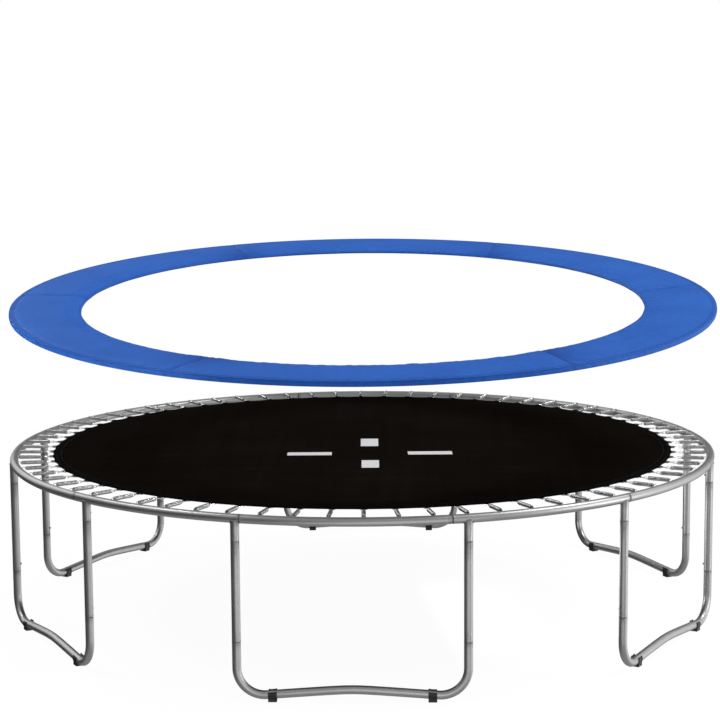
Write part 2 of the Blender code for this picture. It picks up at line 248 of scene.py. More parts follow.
def weave_height(n, pitch, yarn_noise=0.25):
    """Plain weave: over-and-under bars along X and Y at the given pitch in metres."""
    s = nt_sep(n)
    k = 2.0 * math.pi / pitch
    sx = n.math("SINE", n.math("MULTIPLY", s.outputs[0], k))
    sy = n.math("SINE", n.math("MULTIPLY", s.outputs[1], k))
    cx = n.math("ABSOLUTE", n.math("SINE", n.math("MULTIPLY", s.outputs[0], k * 0.5)))
    cy = n.math("ABSOLUTE", n.math("SINE", n.math("MULTIPLY", s.outputs[1], k * 0.5)))
    over = n.math("MULTIPLY", sx, sy)
    body = n.math("MULTIPLY", cx, cy)
    h = n.math("ADD", n.math("MULTIPLY", over, 0.35), n.math("MULTIPLY", body, 0.65))
    if yarn_noise:
        h = n.math("ADD", h, n.math("MULTIPLY", n.noise(1800.0, 2.0), yarn_noise))
    return h


def nt_sep(n):
    s = n.nt.nodes.new("ShaderNodeSeparateXYZ")
    n.link(n.coord, s.inputs[0])
    return s


def mat_material():
    m, nt, b = new_material("woven_mat", (0.0058, 0.0043, 0.0036), 0.7, 0.0, Specular_IOR_Level=0.0)
    n = Nodes(nt)
    streak_x = n.noise(18.0, 4.0, 0.6, vector=n.scaled((1.0, 0.06, 1.0)))
    streak_y = n.noise(18.0, 4.0, 0.6, vector=n.scaled((0.06, 1.0, 1.0)))
    cloud = n.noise(1.7, 5.0, 0.6)
    t = n.math("ADD", n.math("MULTIPLY", n.math("ADD", streak_x, streak_y), 0.3), n.math("MULTIPLY", cloud, 0.4))
    col = n.ramp(t, (0.35, (0.0044, 0.0032, 0.0027)), (0.52, (0.0060, 0.0044, 0.0037)), (0.72, (0.0084, 0.0066, 0.0056)))
    n.link(col, b.inputs["Base Color"])
    n.link(n.remap(t, 0.35, 0.65, 0.56, 0.74), b.inputs["Roughness"])
    n.link(n.bump(weave_height(n, 0.0026), 0.40, 0.0005), b.inputs["Normal"])
    return m


def print_material():
    m, nt, b = new_material("pale_print", (0.80, 0.80, 0.80), 0.55, 0.0, Specular_IOR_Level=0.3)
    n = Nodes(nt)
    a = n.noise(40.0, 5.0, 0.65)
    n.link(n.ramp(a, (0.30, (0.56, 0.56, 0.58)), (0.55, (0.64, 0.64, 0.66)), (0.8, (0.70, 0.70, 0.72))), b.inputs["Base Color"])
    n.link(n.remap(a, 0.3, 0.7, 0.62, 0.5), b.inputs["Roughness"])
    n.link(n.bump(weave_height(n, 0.0026, 0.1), 0.30, 0.0004), b.inputs["Normal"])
    return m


def webbing_material(name="black_webbing", tone=0.012):
    m, nt, b = new_material(name, (tone, tone, tone), 0.8, 0.0, Specular_IOR_Level=0.0)
    n = Nodes(nt)
    a = n.noise(30.0, 4.0, 0.6)
    n.link(n.ramp(a, (0.3, (tone * 0.7, tone * 0.68, tone * 0.66)), (0.7, (tone * 1.5, tone * 1.45, tone * 1.4))), b.inputs["Base Color"])
    n.link(n.remap(a, 0.3, 0.7, 0.74, 0.9), b.inputs["Roughness"])
    n.link(n.bump(weave_height(n, 0.0018, 0.4), 0.7, 0.0007), b.inputs["Normal"])
    return m


def thread_material(name, tone):
    m, nt, b = new_material(name, tone, 0.6, 0.0, Specular_IOR_Level=0.3)
    n = Nodes(nt)
    a = n.noise(500.0, 2.0)
    hi = tuple(c * 1.25 for c in tone)
    lo = tuple(c * 0.7 for c in tone)
    n.link(n.ramp(a, (0.3, lo), (0.7, hi)), b.inputs["Base Color"])
    n.link(n.remap(a, 0.3, 0.7, 0.5, 0.7), b.inputs["Roughness"])
    n.link(n.bump(n.wave(900.0, "DIAGONAL"), 0.4, 0.0003), b.inputs["Normal"])
    return m


def cover_material():
    m, nt, b = new_material("blue_cover", (0.0205, 0.110, 0.455), 0.45, 0.0, Specular_IOR_Level=0.07)
    n = Nodes(nt)
    cloud = n.noise(3.0, 5.0, 0.6)
    mottled = n.noise(38.0, 5.0, 0.72)
    t = n.math("ADD", n.math("MULTIPLY", cloud, 0.45), n.math("MULTIPLY", mottled, 0.55))
    col = n.ramp(t, (0.34, (0.0155, 0.090, 0.400)), (0.5, (0.0205, 0.110, 0.455)), (0.66, (0.0270, 0.129, 0.505)))
    # the mask darkens the cover towards deep blue along seam lines, stitch rows and edges, and as painted shade in
    # broad patches beside the seams
    dark_lines_and_painted_shade = n.attribute("wear_and_shade")
    col = n.mix(n.math("MULTIPLY", dark_lines_and_painted_shade, 0.85), col, (0.0030, 0.027, 0.215))
    n.link(col, b.inputs["Base Color"])
    n.link(n.remap(mottled, 0.3, 0.7, 0.42, 0.56), b.inputs["Roughness"])
    scrim = weave_height(n, 0.0017, 0.15)
    creases = n.noise(11.0, 4.0, 0.55, distortion=0.6)
    first = n.bump(creases, 0.28, 0.006)
    n.link(n.bump(scrim, 0.25, 0.0003, normal=first), b.inputs["Normal"])
    return m


def underside_material():
    m, nt, b = new_material("black_cover", (0.012, 0.012, 0.013), 0.5, 0.0, Specular_IOR_Level=0.35)
    n = Nodes(nt)
    a = n.noise(14.0, 5.0, 0.6)
    n.link(n.ramp(a, (0.3, (0.009, 0.009, 0.010)), (0.7, (0.018, 0.018, 0.019))), b.inputs["Base Color"])
    n.link(n.remap(a, 0.3, 0.7, 0.42, 0.58), b.inputs["Roughness"])
    first = n.bump(n.noise(9.0, 5.0, 0.6, distortion=0.8), 0.35, 0.008)
    n.link(n.bump(weave_height(n, 0.0020, 0.2), 0.35, 0.0004, normal=first), b.inputs["Normal"])
    return m


def plastic_material():
    m, nt, b = new_material("black_plastic", (0.012, 0.012, 0.013), 0.48, 0.0, Specular_IOR_Level=0.4)
    n = Nodes(nt)
    a = n.noise(45.0, 5.0, 0.65)
    scuff = n.attribute("wear_and_shade")
    col = n.ramp(a, (0.3, (0.009, 0.009, 0.0095)), (0.7, (0.016, 0.016, 0.017)))
    col = n.mix(n.math("MULTIPLY", scuff, n.remap(a, 0.45, 0.7, 0.0, 0.8)), col, (0.07, 0.068, 0.063))
    n.link(col, b.inputs["Base Color"])
    n.link(n.remap(a, 0.3, 0.7, 0.40, 0.58), b.inputs["Roughness"])
    n.link(n.bump(n.noise(700.0, 3.0), 0.35, 0.0003), b.inputs["Normal"])
    return m


STEEL = steel_material()
WELD = weld_material()
SPRING_M = zinc_material("zinc_spring", (0.36, 0.365, 0.372), (0.56, 0.565, 0.57), 0.15, 0.26)
RING_M = zinc_material("bright_zinc", (0.78, 0.785, 0.79), (0.93, 0.93, 0.935), 0.12, 0.22)
SCREW_M = zinc_material("screw_zinc", (0.34, 0.34, 0.345), (0.50, 0.50, 0.505), 0.28, 0.42)
MAT_M = mat_material()
PRINT_M = print_material()
WEB_M = webbing_material("black_webbing", 0.0042)
HEM_THREAD_M = thread_material("dark_thread", (0.0065, 0.006, 0.0058))
COVER_THREAD_M = thread_material("blue_thread", (0.020, 0.065, 0.27))
COVER_M = cover_material()
UNDER_M = underside_material()
PLASTIC_M = plastic_material()


# ------------------------------------------------------------------ mesh helpers
class Shape:
    """Collects vertices and faces of one piece, with a material index and a per-vertex darkening value: scuffs and
    grime, and painted shade in some places.
    """

    def __init__(self):
        self.v, self.f, self.m, self.w, self.n = [], [], [], [], 0

    def add(self, verts, faces, mat=0, wear_and_shade=None):
        verts = np.asarray(verts, float).reshape(-1, 3)
        self.v.append(verts)
        self.f += [tuple(i + self.n for i in f) for f in faces]
        self.m += [mat] * len(faces)
        self.w.append(np.zeros(len(verts)) if wear_and_shade is None else np.asarray(wear_and_shade, float))
        self.n += len(verts)
        return self

    def volume(self, verts, faces):
        total = 0.0
        for f in faces:
            a = verts[f[0]]
            for i in range(1, len(f) - 1):
                total += float(np.dot(a, np.cross(verts[f[i]], verts[f[i + 1]])))
        return total / 6.0

    def add_out(self, verts, faces, mat=0, wear_and_shade=None):
        """Adds a closed, evenly wound body and turns it outside out if needed."""
        verts = np.asarray(verts, float).reshape(-1, 3)
        c = verts - verts.mean(0)
        if self.volume(c, faces) < 0:
            faces = [tuple(reversed(f)) for f in faces]
        return self.add(verts, faces, mat, wear_and_shade)

    def mesh(self, name, mats, angle=40.0):
        me = bpy.data.meshes.new(name)
        v = np.concatenate(self.v)
        me.from_pydata(v.tolist(), [], self.f)
        for x in mats:
            me.materials.append(x)
        if len(me.polygons) == len(self.m):
            me.polygons.foreach_set("material_index", self.m)
        w = np.concatenate(self.w).astype(np.float32)
        at = me.attributes.new("wear_and_shade", "FLOAT", "POINT")
        at.data.foreach_set("value", w)
        me.shade_smooth()
        me.set_sharp_from_angle(angle=math.radians(angle))
        me.update()
        return me


def add_object(name, me):
    o = bpy.data.objects.new(name, me)
    bpy.context.scene.collection.objects.link(o)
    return o


def sweep(points, radius, sides, up=(0, 0, 1), closed=False):
    """A round bar along points, with caps unless it is closed. Radius may be one number or one per point."""
    p = np.asarray(points, float)
    n = len(p)
    r = np.full(n, radius, float) if np.isscalar(radius) else np.asarray(radius, float)
    if closed:
        t = np.roll(p, -1, 0) - np.roll(p, 1, 0)
    else:
        t = np.gradient(p, axis=0)
    t /= np.linalg.norm(t, axis=1)[:, None]
    a = np.array(up, float)
    if abs(np.dot(a, t[0])) > 0.95:
        a = np.array([1.0, 0.0, 0.0]) if abs(t[0][0]) < 0.9 else np.array([0.0, 1.0, 0.0])
    frames = []
    for i in range(n):
        a = a - t[i] * np.dot(a, t[i])
        a /= np.linalg.norm(a)
        frames.append((a, np.cross(t[i], a)))
    ang = 2 * np.pi * np.arange(sides) / sides
    twist = np.zeros(n)
    if closed:
        # share out the small turn left over round the loop
        a0 = a - t[0] * np.dot(a, t[0])
        a0 /= np.linalg.norm(a0)
        off = math.atan2(np.dot(np.cross(a0, frames[0][0]), t[0]), np.dot(a0, frames[0][0]))
        twist = off * np.arange(n) / n
    rings = [p[i] + r[i] * (np.outer(np.cos(ang + twist[i]), frames[i][0]) + np.outer(np.sin(ang + twist[i]), frames[i][1])) for i in range(n)]
    v = np.concatenate(rings)
    f = []
    for k in range(n if closed else n - 1):
        k2 = (k + 1) % n
        for i in range(sides):
            j = (i + 1) % sides
            f.append((k * sides + i, k * sides + j, k2 * sides + j, k2 * sides + i))
    if not closed:
        f.append(tuple(range(sides - 1, -1, -1)))
        f.append(tuple((n - 1) * sides + i for i in range(sides)))
    return v, f


def lathe(profile, sides, axis_point=(0, 0, 0)):
    """Closed body turned about Z: profile is a loop of (radius, z)."""
    rings = []
    ang = 2 * np.pi * np.arange(sides) / sides
    for r, z in profile:
        rings.append(np.stack([r * np.cos(ang), r * np.sin(ang), np.full(sides, z)], 1))
    v = np.concatenate(rings) + np.array(axis_point)
    n = len(profile)
    f = []
    for k in range(n):
        k2 = (k + 1) % n
        for i in range(sides):
            j = (i + 1) % sides
            f.append((k * sides + i, k * sides + j, k2 * sides + j, k2 * sides + i))
    return v, f


def turned(profile, sides):
    """Solid turned about Z from (radius, z) points, first and last closed with caps."""
    ang = 2 * np.pi * np.arange(sides) / sides
    rings = [np.stack([r * np.cos(ang), r * np.sin(ang), np.full(sides, z)], 1) for r, z in profile]
    v = np.concatenate(rings)
    f = []
    for k in range(len(profile) - 1):
        for i in range(sides):
            j = (i + 1) % sides
            f.append((k * sides + i, k * sides + j, (k + 1) * sides + j, (k + 1) * sides + i))
    f.append(tuple(range(sides - 1, -1, -1)))
    last = (len(profile) - 1) * sides
    f.append(tuple(last + i for i in range(sides)))
    return v, f


def catmull(points, per=8):
    p = np.asarray(points, float)
    ext = np.vstack([2 * p[0] - p[1], p, 2 * p[-1] - p[-2]])
    out = []
    for i in range(1, len(ext) - 2):
        a, b, c, d = ext[i - 1], ext[i], ext[i + 1], ext[i + 2]
        for k in range(per):
            t = k / per
            out.append(0.5 * ((2 * b) + (c - a) * t + (2 * a - 5 * b + 4 * c - d) * t * t + (3 * b - a - 3 * c + d) * t ** 3))
    out.append(ext[-2])
    return np.array(out)


# ------------------------------------------------------------------ top rails
NA = 40
HALF_ARC = FRAME_R * math.radians(15.0)
HOLE_COL = 13                      # vertex column on the inner shoulder of the tube
CELL = 0.0033
HOOK_DEGS = (-12.5, -7.5, -2.5, 2.5, 7.5, 12.5)


def on_rail(arc, phi, r):
    """Point on a rail: arc metres along the ring, phi round the tube from outward to up."""
    th = arc / FRAME_R
    rho = FRAME_R + r * math.cos(phi)
    return (rho * math.cos(th), rho * math.sin(th), FRAME_Z + r * math.sin(phi))


def rail_tube(shape):
    """One rail about angle 0, with its hook holes, rolled lip and reduced end."""
    dphi = 2 * math.pi / NA
    holes = [FRAME_R * math.radians(d) for d in HOOK_DEGS]
    body = set()
    for h in holes:
        for k in range(-2, 3):
            body.add(round(h + k * CELL, 6))
    edges = [-HALF_ARC + 0.0075] + [h for h in holes] + [HALF_ARC - 0.0075]
    for a, b in zip(edges[:-1], edges[1:]):
        lo = a + (0.0 if a == edges[0] else 2 * CELL)
        hi = b - (0.0 if b == edges[-1] else 2 * CELL)
        steps = max(1, int(round((hi - lo) / 0.024)))
        for k in range(0, steps + 1):
            body.add(round(lo + (hi - lo) * k / steps, 6))
    body = sorted(body)
    body = [x for i, x in enumerate(body) if i == 0 or x - body[i - 1] > 1e-4]

    lip = [(-HALF_ARC + 0.0003, 0.0199), (-HALF_ARC + 0.0004, 0.0211), (-HALF_ARC + 0.0010, 0.0217),
           (-HALF_ARC + 0.0034, 0.0217), (-HALF_ARC + 0.0052, 0.0212)]
    end = [(HALF_ARC - 0.0072, 0.0210), (HALF_ARC - 0.0067, 0.0208), (HALF_ARC - 0.0063, 0.0201),
           (HALF_ARC - 0.0060, RAIL_SWAGE), (HALF_ARC + 0.030, RAIL_SWAGE), (HALF_ARC + 0.054, RAIL_SWAGE),
           (HALF_ARC + 0.0552, RAIL_SWAGE - 0.0008), (HALF_ARC + 0.0552, 0.0171), (HALF_ARC + 0.030, 0.0170),
           (HALF_ARC - 0.0053, 0.0170)]
    outer = lip + [(x, RAIL_R) for x in body] + end
    inner = [(x, RAIL_BORE) for x in reversed(body)]
    rows = outer + inner
    verts, index, wear_and_shade = [], {}, []

    def vert(row, col):
        col %= NA
        key = (row % len(rows), col)
        if key not in index:
            index[key] = len(verts)
            arc, r = rows[key[0]]
            verts.append(on_rail(arc, col * dphi, r))
            # the mask is 1 down in the joint gap, as painted shade there, and fades out just beside it
            in_gap = HALF_ARC - 0.0066 < arc < HALF_ARC + 0.002
            wear_and_shade.append(1.0 if in_gap else max(0.0, 1.0 - abs(arc - HALF_ARC + 0.0066) / 0.006) * 0.5)
        return index[key]

    row_of_outer = {round(x, 6): len(lip) + i for i, x in enumerate(body)}
    row_of_inner = {round(x, 6): len(outer) + i for i, x in enumerate(reversed(body))}
    skip, faces = set(), []
    loops = []
    for h in holes:
        both = []
        for rows_of, sign, rad in ((row_of_outer, 1, RAIL_R), (row_of_inner, -1, RAIL_BORE)):
            mid = rows_of[min(rows_of, key=lambda x: abs(x - h))]
            loop = []
            cells = [(-2, -2), (-1, -2), (0, -2), (1, -2), (2, -2), (2, -1), (2, 0), (2, 1), (2, 2),
                     (1, 2), (0, 2), (-1, 2), (-2, 2), (-2, 1), (-2, 0), (-2, -1)]
            for du, dv in cells:
                loop.append((mid + sign * du, HOLE_COL + dv, du, dv))
            for dr in range(-2, 2):
                for dc in range(-2, 2):
                    r0 = mid + dr
                    skip.add((r0, (HOLE_COL + dc) % NA))
            oval = []
            for _, _, du, dv in loop:
                a = math.atan2(dv, du)
                oval.append(len(verts))
                verts.append(on_rail(h + 0.0042 * math.cos(a), HOLE_COL * dphi + 0.0046 * math.sin(a) / RAIL_R, rad))
                wear_and_shade.append(1.0)
            both.append(([vert(r, c) for r, c, _, _ in loop], oval))
        loops.append(both)
    for k in range(len(rows)):
        for i in range(NA):
            if (k, i) in skip:
                continue
            faces.append((vert(k, i), vert(k, i + 1), vert(k + 1, i + 1), vert(k + 1, i)))
    for (ob, oo), (ib, io) in loops:
        n = len(oo)
        for i in range(n):
            j = (i + 1) % n
            faces.append((ob[i], ob[j], oo[j], oo[i])[::-1])
            faces.append((ib[i], ib[j], io[j], io[i]))
            faces.append((oo[i], oo[j], io[j], io[i])[::-1])
    # same winding everywhere is put right once, below
    shape.add(np.array(verts), faces, 0, wear_and_shade)


def saddle_z(px, py):
    a = math.hypot(px, py) - FRAME_R
    return min(FRAME_Z - math.sqrt(max(RAIL_R ** 2 - a * a, 0.0)), FRAME_Z - 0.0045)


def add_socket(shape, az):
    """Stub tube under a rail at azimuth az, with its weld."""
    c = pol(POST_R, az)
    sides = 40
    ang = [2 * math.pi * i / sides for i in range(sides)]
    z0 = Z_UPPER + 0.0006
    rings, wear_and_shade = [], []

    def ring(r, z, w=0.0, saddle=False):
        pts = []
        for a in ang:
            x, y = c[0] + r * math.cos(a), c[1] + r * math.sin(a)
            pts.append((x, y, (saddle_z(x, y) + 0.003) if saddle else z))
        rings.append(pts)
        wear_and_shade.extend([w] * sides)

    ring(TUBE_BORE, 0.8055)
    ring(TUBE_BORE, z0 + 0.0006, 0.6)
    ring(0.0190, z0, 0.8)
    ring(0.0201, z0, 0.8)
    ring(0.0206, z0 + 0.0007, 0.5)
    ring(0.0206, z0 + 0.0030, 0.3)
    ring(TUBE_R, z0 + 0.0055, 0.1)
    ring(TUBE_R, 0.785)
    ring(TUBE_R, 0.0, 0.5, saddle=True)
    v = np.array(rings).reshape(-1, 3)
    n = len(rings)
    f = []
    for k in range(n):
        k2 = (k + 1) % n
        for i in range(sides):
            j = (i + 1) % sides
            f.append((k * sides + i, k * sides + j, k2 * sides + j, k2 * sides + i))
    shape.add_out(v, f, 0, wear_and_shade)
    # weld bead along the saddle line, laid in overlapping ripples
    pts, rad = [], []
    steps = 96
    rs = random.Random(int(az * 10) + 500)
    for i in range(steps):
        a = 2 * math.pi * i / steps
        r = TUBE_R + 0.0006
        x, y = c[0] + r * math.cos(a), c[1] + r * math.sin(a)
        pts.append((x, y, saddle_z(x, y) - 0.0006))
        rad.append(0.0024 + 0.0005 * abs(math.sin(a * 15)) + rs.uniform(-0.0002, 0.0002))
    v, f = sweep(pts, rad, 8, closed=True)
    shape.add_out(v, f, 1, [0.3] * len(v))


def rails():
    plain, socket = Shape(), Shape()
    rail_tube(plain)
    rail_tube(socket)
    for az in (14.1, -12.7):
        add_socket(socket, az)
    meshes = {}
    for name, shape in (("plain", plain), ("socket", socket)):
        me = shape.mesh("rail_" + name, [STEEL, WELD], 40.0)
        bm = bmesh.new()
        bm.from_mesh(me)
        bmesh.ops.recalc_face_normals(bm, faces=bm.faces)
        bm.to_mesh(me)
        bm.free()
        meshes[name] = me
    for k in range(LEGS):
        leg = -90.0 + 60.0 * k
        for kind, az in (("plain", leg + PHASE), ("socket", leg + 30.0 + PHASE)):
            me = meshes[kind].copy()
            me.transform(Matrix.Rotation(math.radians(az), 4, "Z"))
            me.update()
            o = add_object(f"top_rail_{kind}_{k + 1}", me)
            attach(o, "frame")
            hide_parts(f"rail_{kind}_{k + 1}")


# ------------------------------------------------------------------ legs
HALF_CHORD = POST_R * math.sin(math.radians(POST_HALF))
CHORD_X = POST_R * math.cos(math.radians(POST_HALF))


ARCH_ROUND = 0.005                  # how softly the two straight runs of a leg base meet at its crown


def base_arch():
    slope = 0.0
    for _ in range(40):
        u_end = BEND_R + BEND_R * math.sin(slope)
        z_end = BEND_R * (1.0 - math.cos(slope))
        half = HALF_CHORD - u_end
        rise = ARCH_RISE - z_end
        pitch = math.sqrt((ARCH_ROUND + rise) ** 2 - ARCH_ROUND ** 2) / half
        slope = math.atan(pitch * pitch * half / (ARCH_ROUND + rise))
    return u_end, pitch, slope


ARCH_U, ARCH_PITCH, ARCH_SLOPE = base_arch()


def arch_height(u):
    half = HALF_CHORD - ARCH_U
    z_end = BASE_LOW_Z + BEND_R * (1.0 - math.cos(ARCH_SLOPE))
    return z_end + math.hypot(ARCH_ROUND, ARCH_PITCH * half) - math.hypot(ARCH_ROUND, ARCH_PITCH * u)


def leg_post(shape, az):
    c = pol(POST_R, az)
    lo, hi = Z_LOWER + 0.0006, Z_UPPER - 0.0014
    prof = [(TUBE_BORE, lo + 0.0006), (0.0190, lo), (0.0201, lo), (0.0206, lo + 0.0007), (0.0206, lo + 0.0030),
            (TUBE_R, lo + 0.0055), (TUBE_R, lo + 0.10), (TUBE_R, 0.5 * (lo + hi)), (TUBE_R, hi - 0.10), (TUBE_R, hi - 0.0022),
            (0.0198, hi - 0.0008), (0.0191, hi), (TUBE_SWAGE, hi + 0.0002), (TUBE_SWAGE, Z_UPPER + 0.063),
            (0.0162, Z_UPPER + 0.064), (0.0161, hi - 0.02), (TUBE_BORE, hi - 0.03)]
    v, f = lathe(prof, 40, (c[0], c[1], 0.0))
    wear_and_shade = np.zeros(len(v))
    near = np.minimum(abs(v[:, 2] - lo), abs(v[:, 2] - hi))
    wear_and_shade = np.clip(1 - near / 0.010, 0, 1) * 0.7
    shape.add_out(v, f, 0, wear_and_shade)


def leg_base(shape, az):
    """Bent tube: a reduced end, a bend, the long shallow arch, a bend and a reduced end."""
    line = []
    zc = BASE_LOW_Z + BEND_R
    zj = Z_LOWER - 0.0014
    for z, r in ((Z_LOWER + 0.063, 0.0168), (Z_LOWER + 0.062, TUBE_SWAGE), (zj + 0.0002, TUBE_SWAGE), (zj, 0.0191),
                 (zj - 0.0008, 0.0198), (zj - 0.0022, TUBE_R), (zj - 0.03, TUBE_R), (0.21, TUBE_R), (0.18, TUBE_R)):
        line.append((-HALF_CHORD, z, 0.0, -1.0, r))
    total = 0.5 * math.pi + ARCH_SLOPE
    steps = 18
    for i in range(steps + 1):
        t = total * i / steps
        # the tube keeps its round section through the bend
        r = TUBE_R
        line.append((-HALF_CHORD + BEND_R * (1 - math.cos(t)), zc - BEND_R * math.sin(t), math.sin(t), -math.cos(t), r))
    half = HALF_CHORD - ARCH_U
    arch = 26
    for i in range(1, arch):
        u = -half + 2 * half * i / arch
        a = math.atan(ARCH_PITCH ** 2 * u / math.hypot(ARCH_ROUND, ARCH_PITCH * u))
        line.append((u, arch_height(u), math.cos(a), -math.sin(a), TUBE_R))
    left = line[:9 + steps + 1]
    line += [(-u, z, du, -dz, r) for u, z, du, dz, r in reversed(left)]
    sides = 40
    rings = []
    for u, z, du, dz, r in line:
        p = np.array([CHORD_X, u, z])
        d = np.array([0.0, du, dz])
        x = np.array([1.0, 0.0, 0.0])
        b = np.cross(d, x)
        a = 2 * np.pi * np.arange(sides) / sides
        rings.append(p + r * (np.outer(np.cos(a), x) + np.outer(np.sin(a), b)))
    v = np.concatenate(rings)
    n = len(rings)
    f = []
    for k in range(n - 1):
        for i in range(sides):
            j = (i + 1) % sides
            f.append((k * sides + i, k * sides + j, (k + 1) * sides + j, (k + 1) * sides + i))
    f.append(tuple(range(sides - 1, -1, -1)))
    f.append(tuple((n - 1) * sides + i for i in range(sides)))
    wear_and_shade = np.clip(1 - abs(v[:, 2] - zj) / 0.008, 0, 1) * 0.7
    shape.add_out(turn_z(v, az), f, 0, wear_and_shade)


def foot_clip(shape, az, side):
    """Snap-on foot: outer jaw, taller inner jaw with a thumb lip, and a flat sole."""
    ri, ro = 0.0203, 0.0243

    def circle(r, deg):
        a = math.radians(deg)
        return (r * math.cos(a), r * math.sin(a))

    inner = [circle(ri, d) for d in range(38, -220, -8)]
    tip_in = [circle(ri + 0.0004, -222), (-0.0168, 0.0165), (-0.0188, 0.0194), (-0.0207, 0.0197), (-0.0215, 0.0180), (-0.0209, 0.0155)]
    outer_in = [circle(ro, d) for d in range(-214, -150, 8)]
    outer_out = [circle(ro, d) for d in range(-34, 32, 8)]
    nose = [circle(ro, 34), (circle(0.5 * (ri + ro) + 0.0006, 40)), circle(ri + 0.0005, 41)]
    u_mid = HALF_CHORD - FOOT_FROM_POST
    stations = [(-0.5, 0.90), (-0.485, 1.0), (-0.30, 1.0), (-0.28, 0.985), (0.0, 0.985), (0.28, 0.985), (0.30, 1.0), (0.485, 1.0), (0.5, 0.90)]
    rings = []
    for s, grow in stations:
        u = side * (u_mid + s * FOOT_LEN)
        zc = arch_height(u)
        sole = [(-0.0200, -zc + 0.0105), (-0.0205, -zc + 0.0020), (-0.0192, -zc + 0.0003), (-0.0100, -zc + 0.0003), (0.0, -zc + 0.0003), (0.0100, -zc + 0.0003),
                (0.0192, -zc + 0.0003), (0.0205, -zc + 0.0020), (0.0200, -zc + 0.0105)]
        sec = inner + tip_in + outer_in + sole + outer_out + nose
        pts = []
        for x, z in sec:
            d = math.hypot(x, z)
            g = 1.0
            if d > 0.5 * (ri + ro):
                g = ri / d + (1 - ri / d) * grow if grow < 0.95 else 1.0
                if 0.95 <= grow < 1.0 and z > -0.6 * ro:
                    g = 1.0 - 0.0009 / d
            zz = z * g
            if z <= -zc + 0.0030:
                zz = z
            pts.append((CHORD_X + x * g, u, zc + zz))
        rings.append(pts)
    m = len(rings[0])
    v = np.array(rings).reshape(-1, 3)
    f = []
    for k in range(len(rings) - 1):
        for i in range(m):
            j = (i + 1) % m
            f.append((k * m + i, k * m + j, (k + 1) * m + j, (k + 1) * m + i))
    f.append(tuple(range(m - 1, -1, -1)))
    f.append(tuple((len(rings) - 1) * m + i for i in range(m)))
    wear_and_shade = np.clip(1 - v[:, 2] / 0.008, 0, 1)
    shape.add_out(turn_z(v, az), f, 0, wear_and_shade)


def screw_mesh():
    """Hex washer-head screw lying along +X from the tube surface at the origin."""
    s = Shape()
    v, f = turned([(0.0062, -0.0012), (0.0066, 0.0002), (0.0066, 0.0009), (0.0060, 0.0014), (0.0046, 0.0016)], 24)
    s.add_out(v, f)
    a = [math.radians(60 * i) for i in range(6)]
    rings = []
    for r, z in ((0.0046, 0.0012), (0.0046, 0.0050), (0.0041, 0.0060), (0.0022, 0.0060), (0.0018, 0.0052)):
        rings.append([(r * math.cos(t), r * math.sin(t), z) for t in a])
    hv = np.array(rings).reshape(-1, 3)
    hf = []
    for k in range(4):
        for i in range(6):
            j = (i + 1) % 6
            hf.append((k * 6 + i, k * 6 + j, (k + 1) * 6 + j, (k + 1) * 6 + i))
    hf.append(tuple(range(5, -1, -1)))
    hf.append(tuple(24 + i for i in range(6)))
    s.add_out(hv, hf)
    me = s.mesh("tube_screw", [SCREW_M], 30.0)
    me.transform(Matrix.Rotation(math.radians(90.0), 4, "Y"))
    return me


def legs():
    screw = screw_mesh()
    count = 0
    for k in range(LEGS):
        leg = -90.0 + 60.0 * k
        s = Shape()
        leg_base(s, leg)
        o = add_object(f"bent_leg_base_{k + 1}", s.mesh("bent_leg_base", [STEEL], 40.0))
        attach(o, "frame")
        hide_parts(f"leg_base_{k + 1}")
        for i, side in enumerate((-1, 1)):
            n = 2 * k + i + 1
            az = leg + side * POST_HALF
            s = Shape()
            leg_post(s, az)
            o = add_object(f"upright_post_{n:02d}", s.mesh("upright_post", [STEEL], 40.0))
            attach(o, "frame")
            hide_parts(f"leg_post_{n:02d}")
            s = Shape()
            foot_clip(s, leg, side)
            o = add_object(f"snap_foot_{n:02d}", s.mesh("snap_foot", [PLASTIC_M], 35.0))
            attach(o, "frame")
            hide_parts(f"foot_clip_{n:02d}")
            for z in (Z_UPPER + 0.035, Z_LOWER + 0.035):
                count += 1
                me = screw.copy()
                me.transform(Matrix.Rotation(math.radians(7.0 * count), 4, "X"))
                place = Matrix.Translation(pol(POST_R - TUBE_R, az, z)) @ Matrix.Rotation(math.radians(az + 180.0), 4, "Z")
                me.transform(place)
                o = add_object(f"tube_screw_{count:02d}", me)
                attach(o, "frame")


# ------------------------------------------------------------------ springs and V rings
WIRE = 0.00145
COIL_MEAN = 0.0085


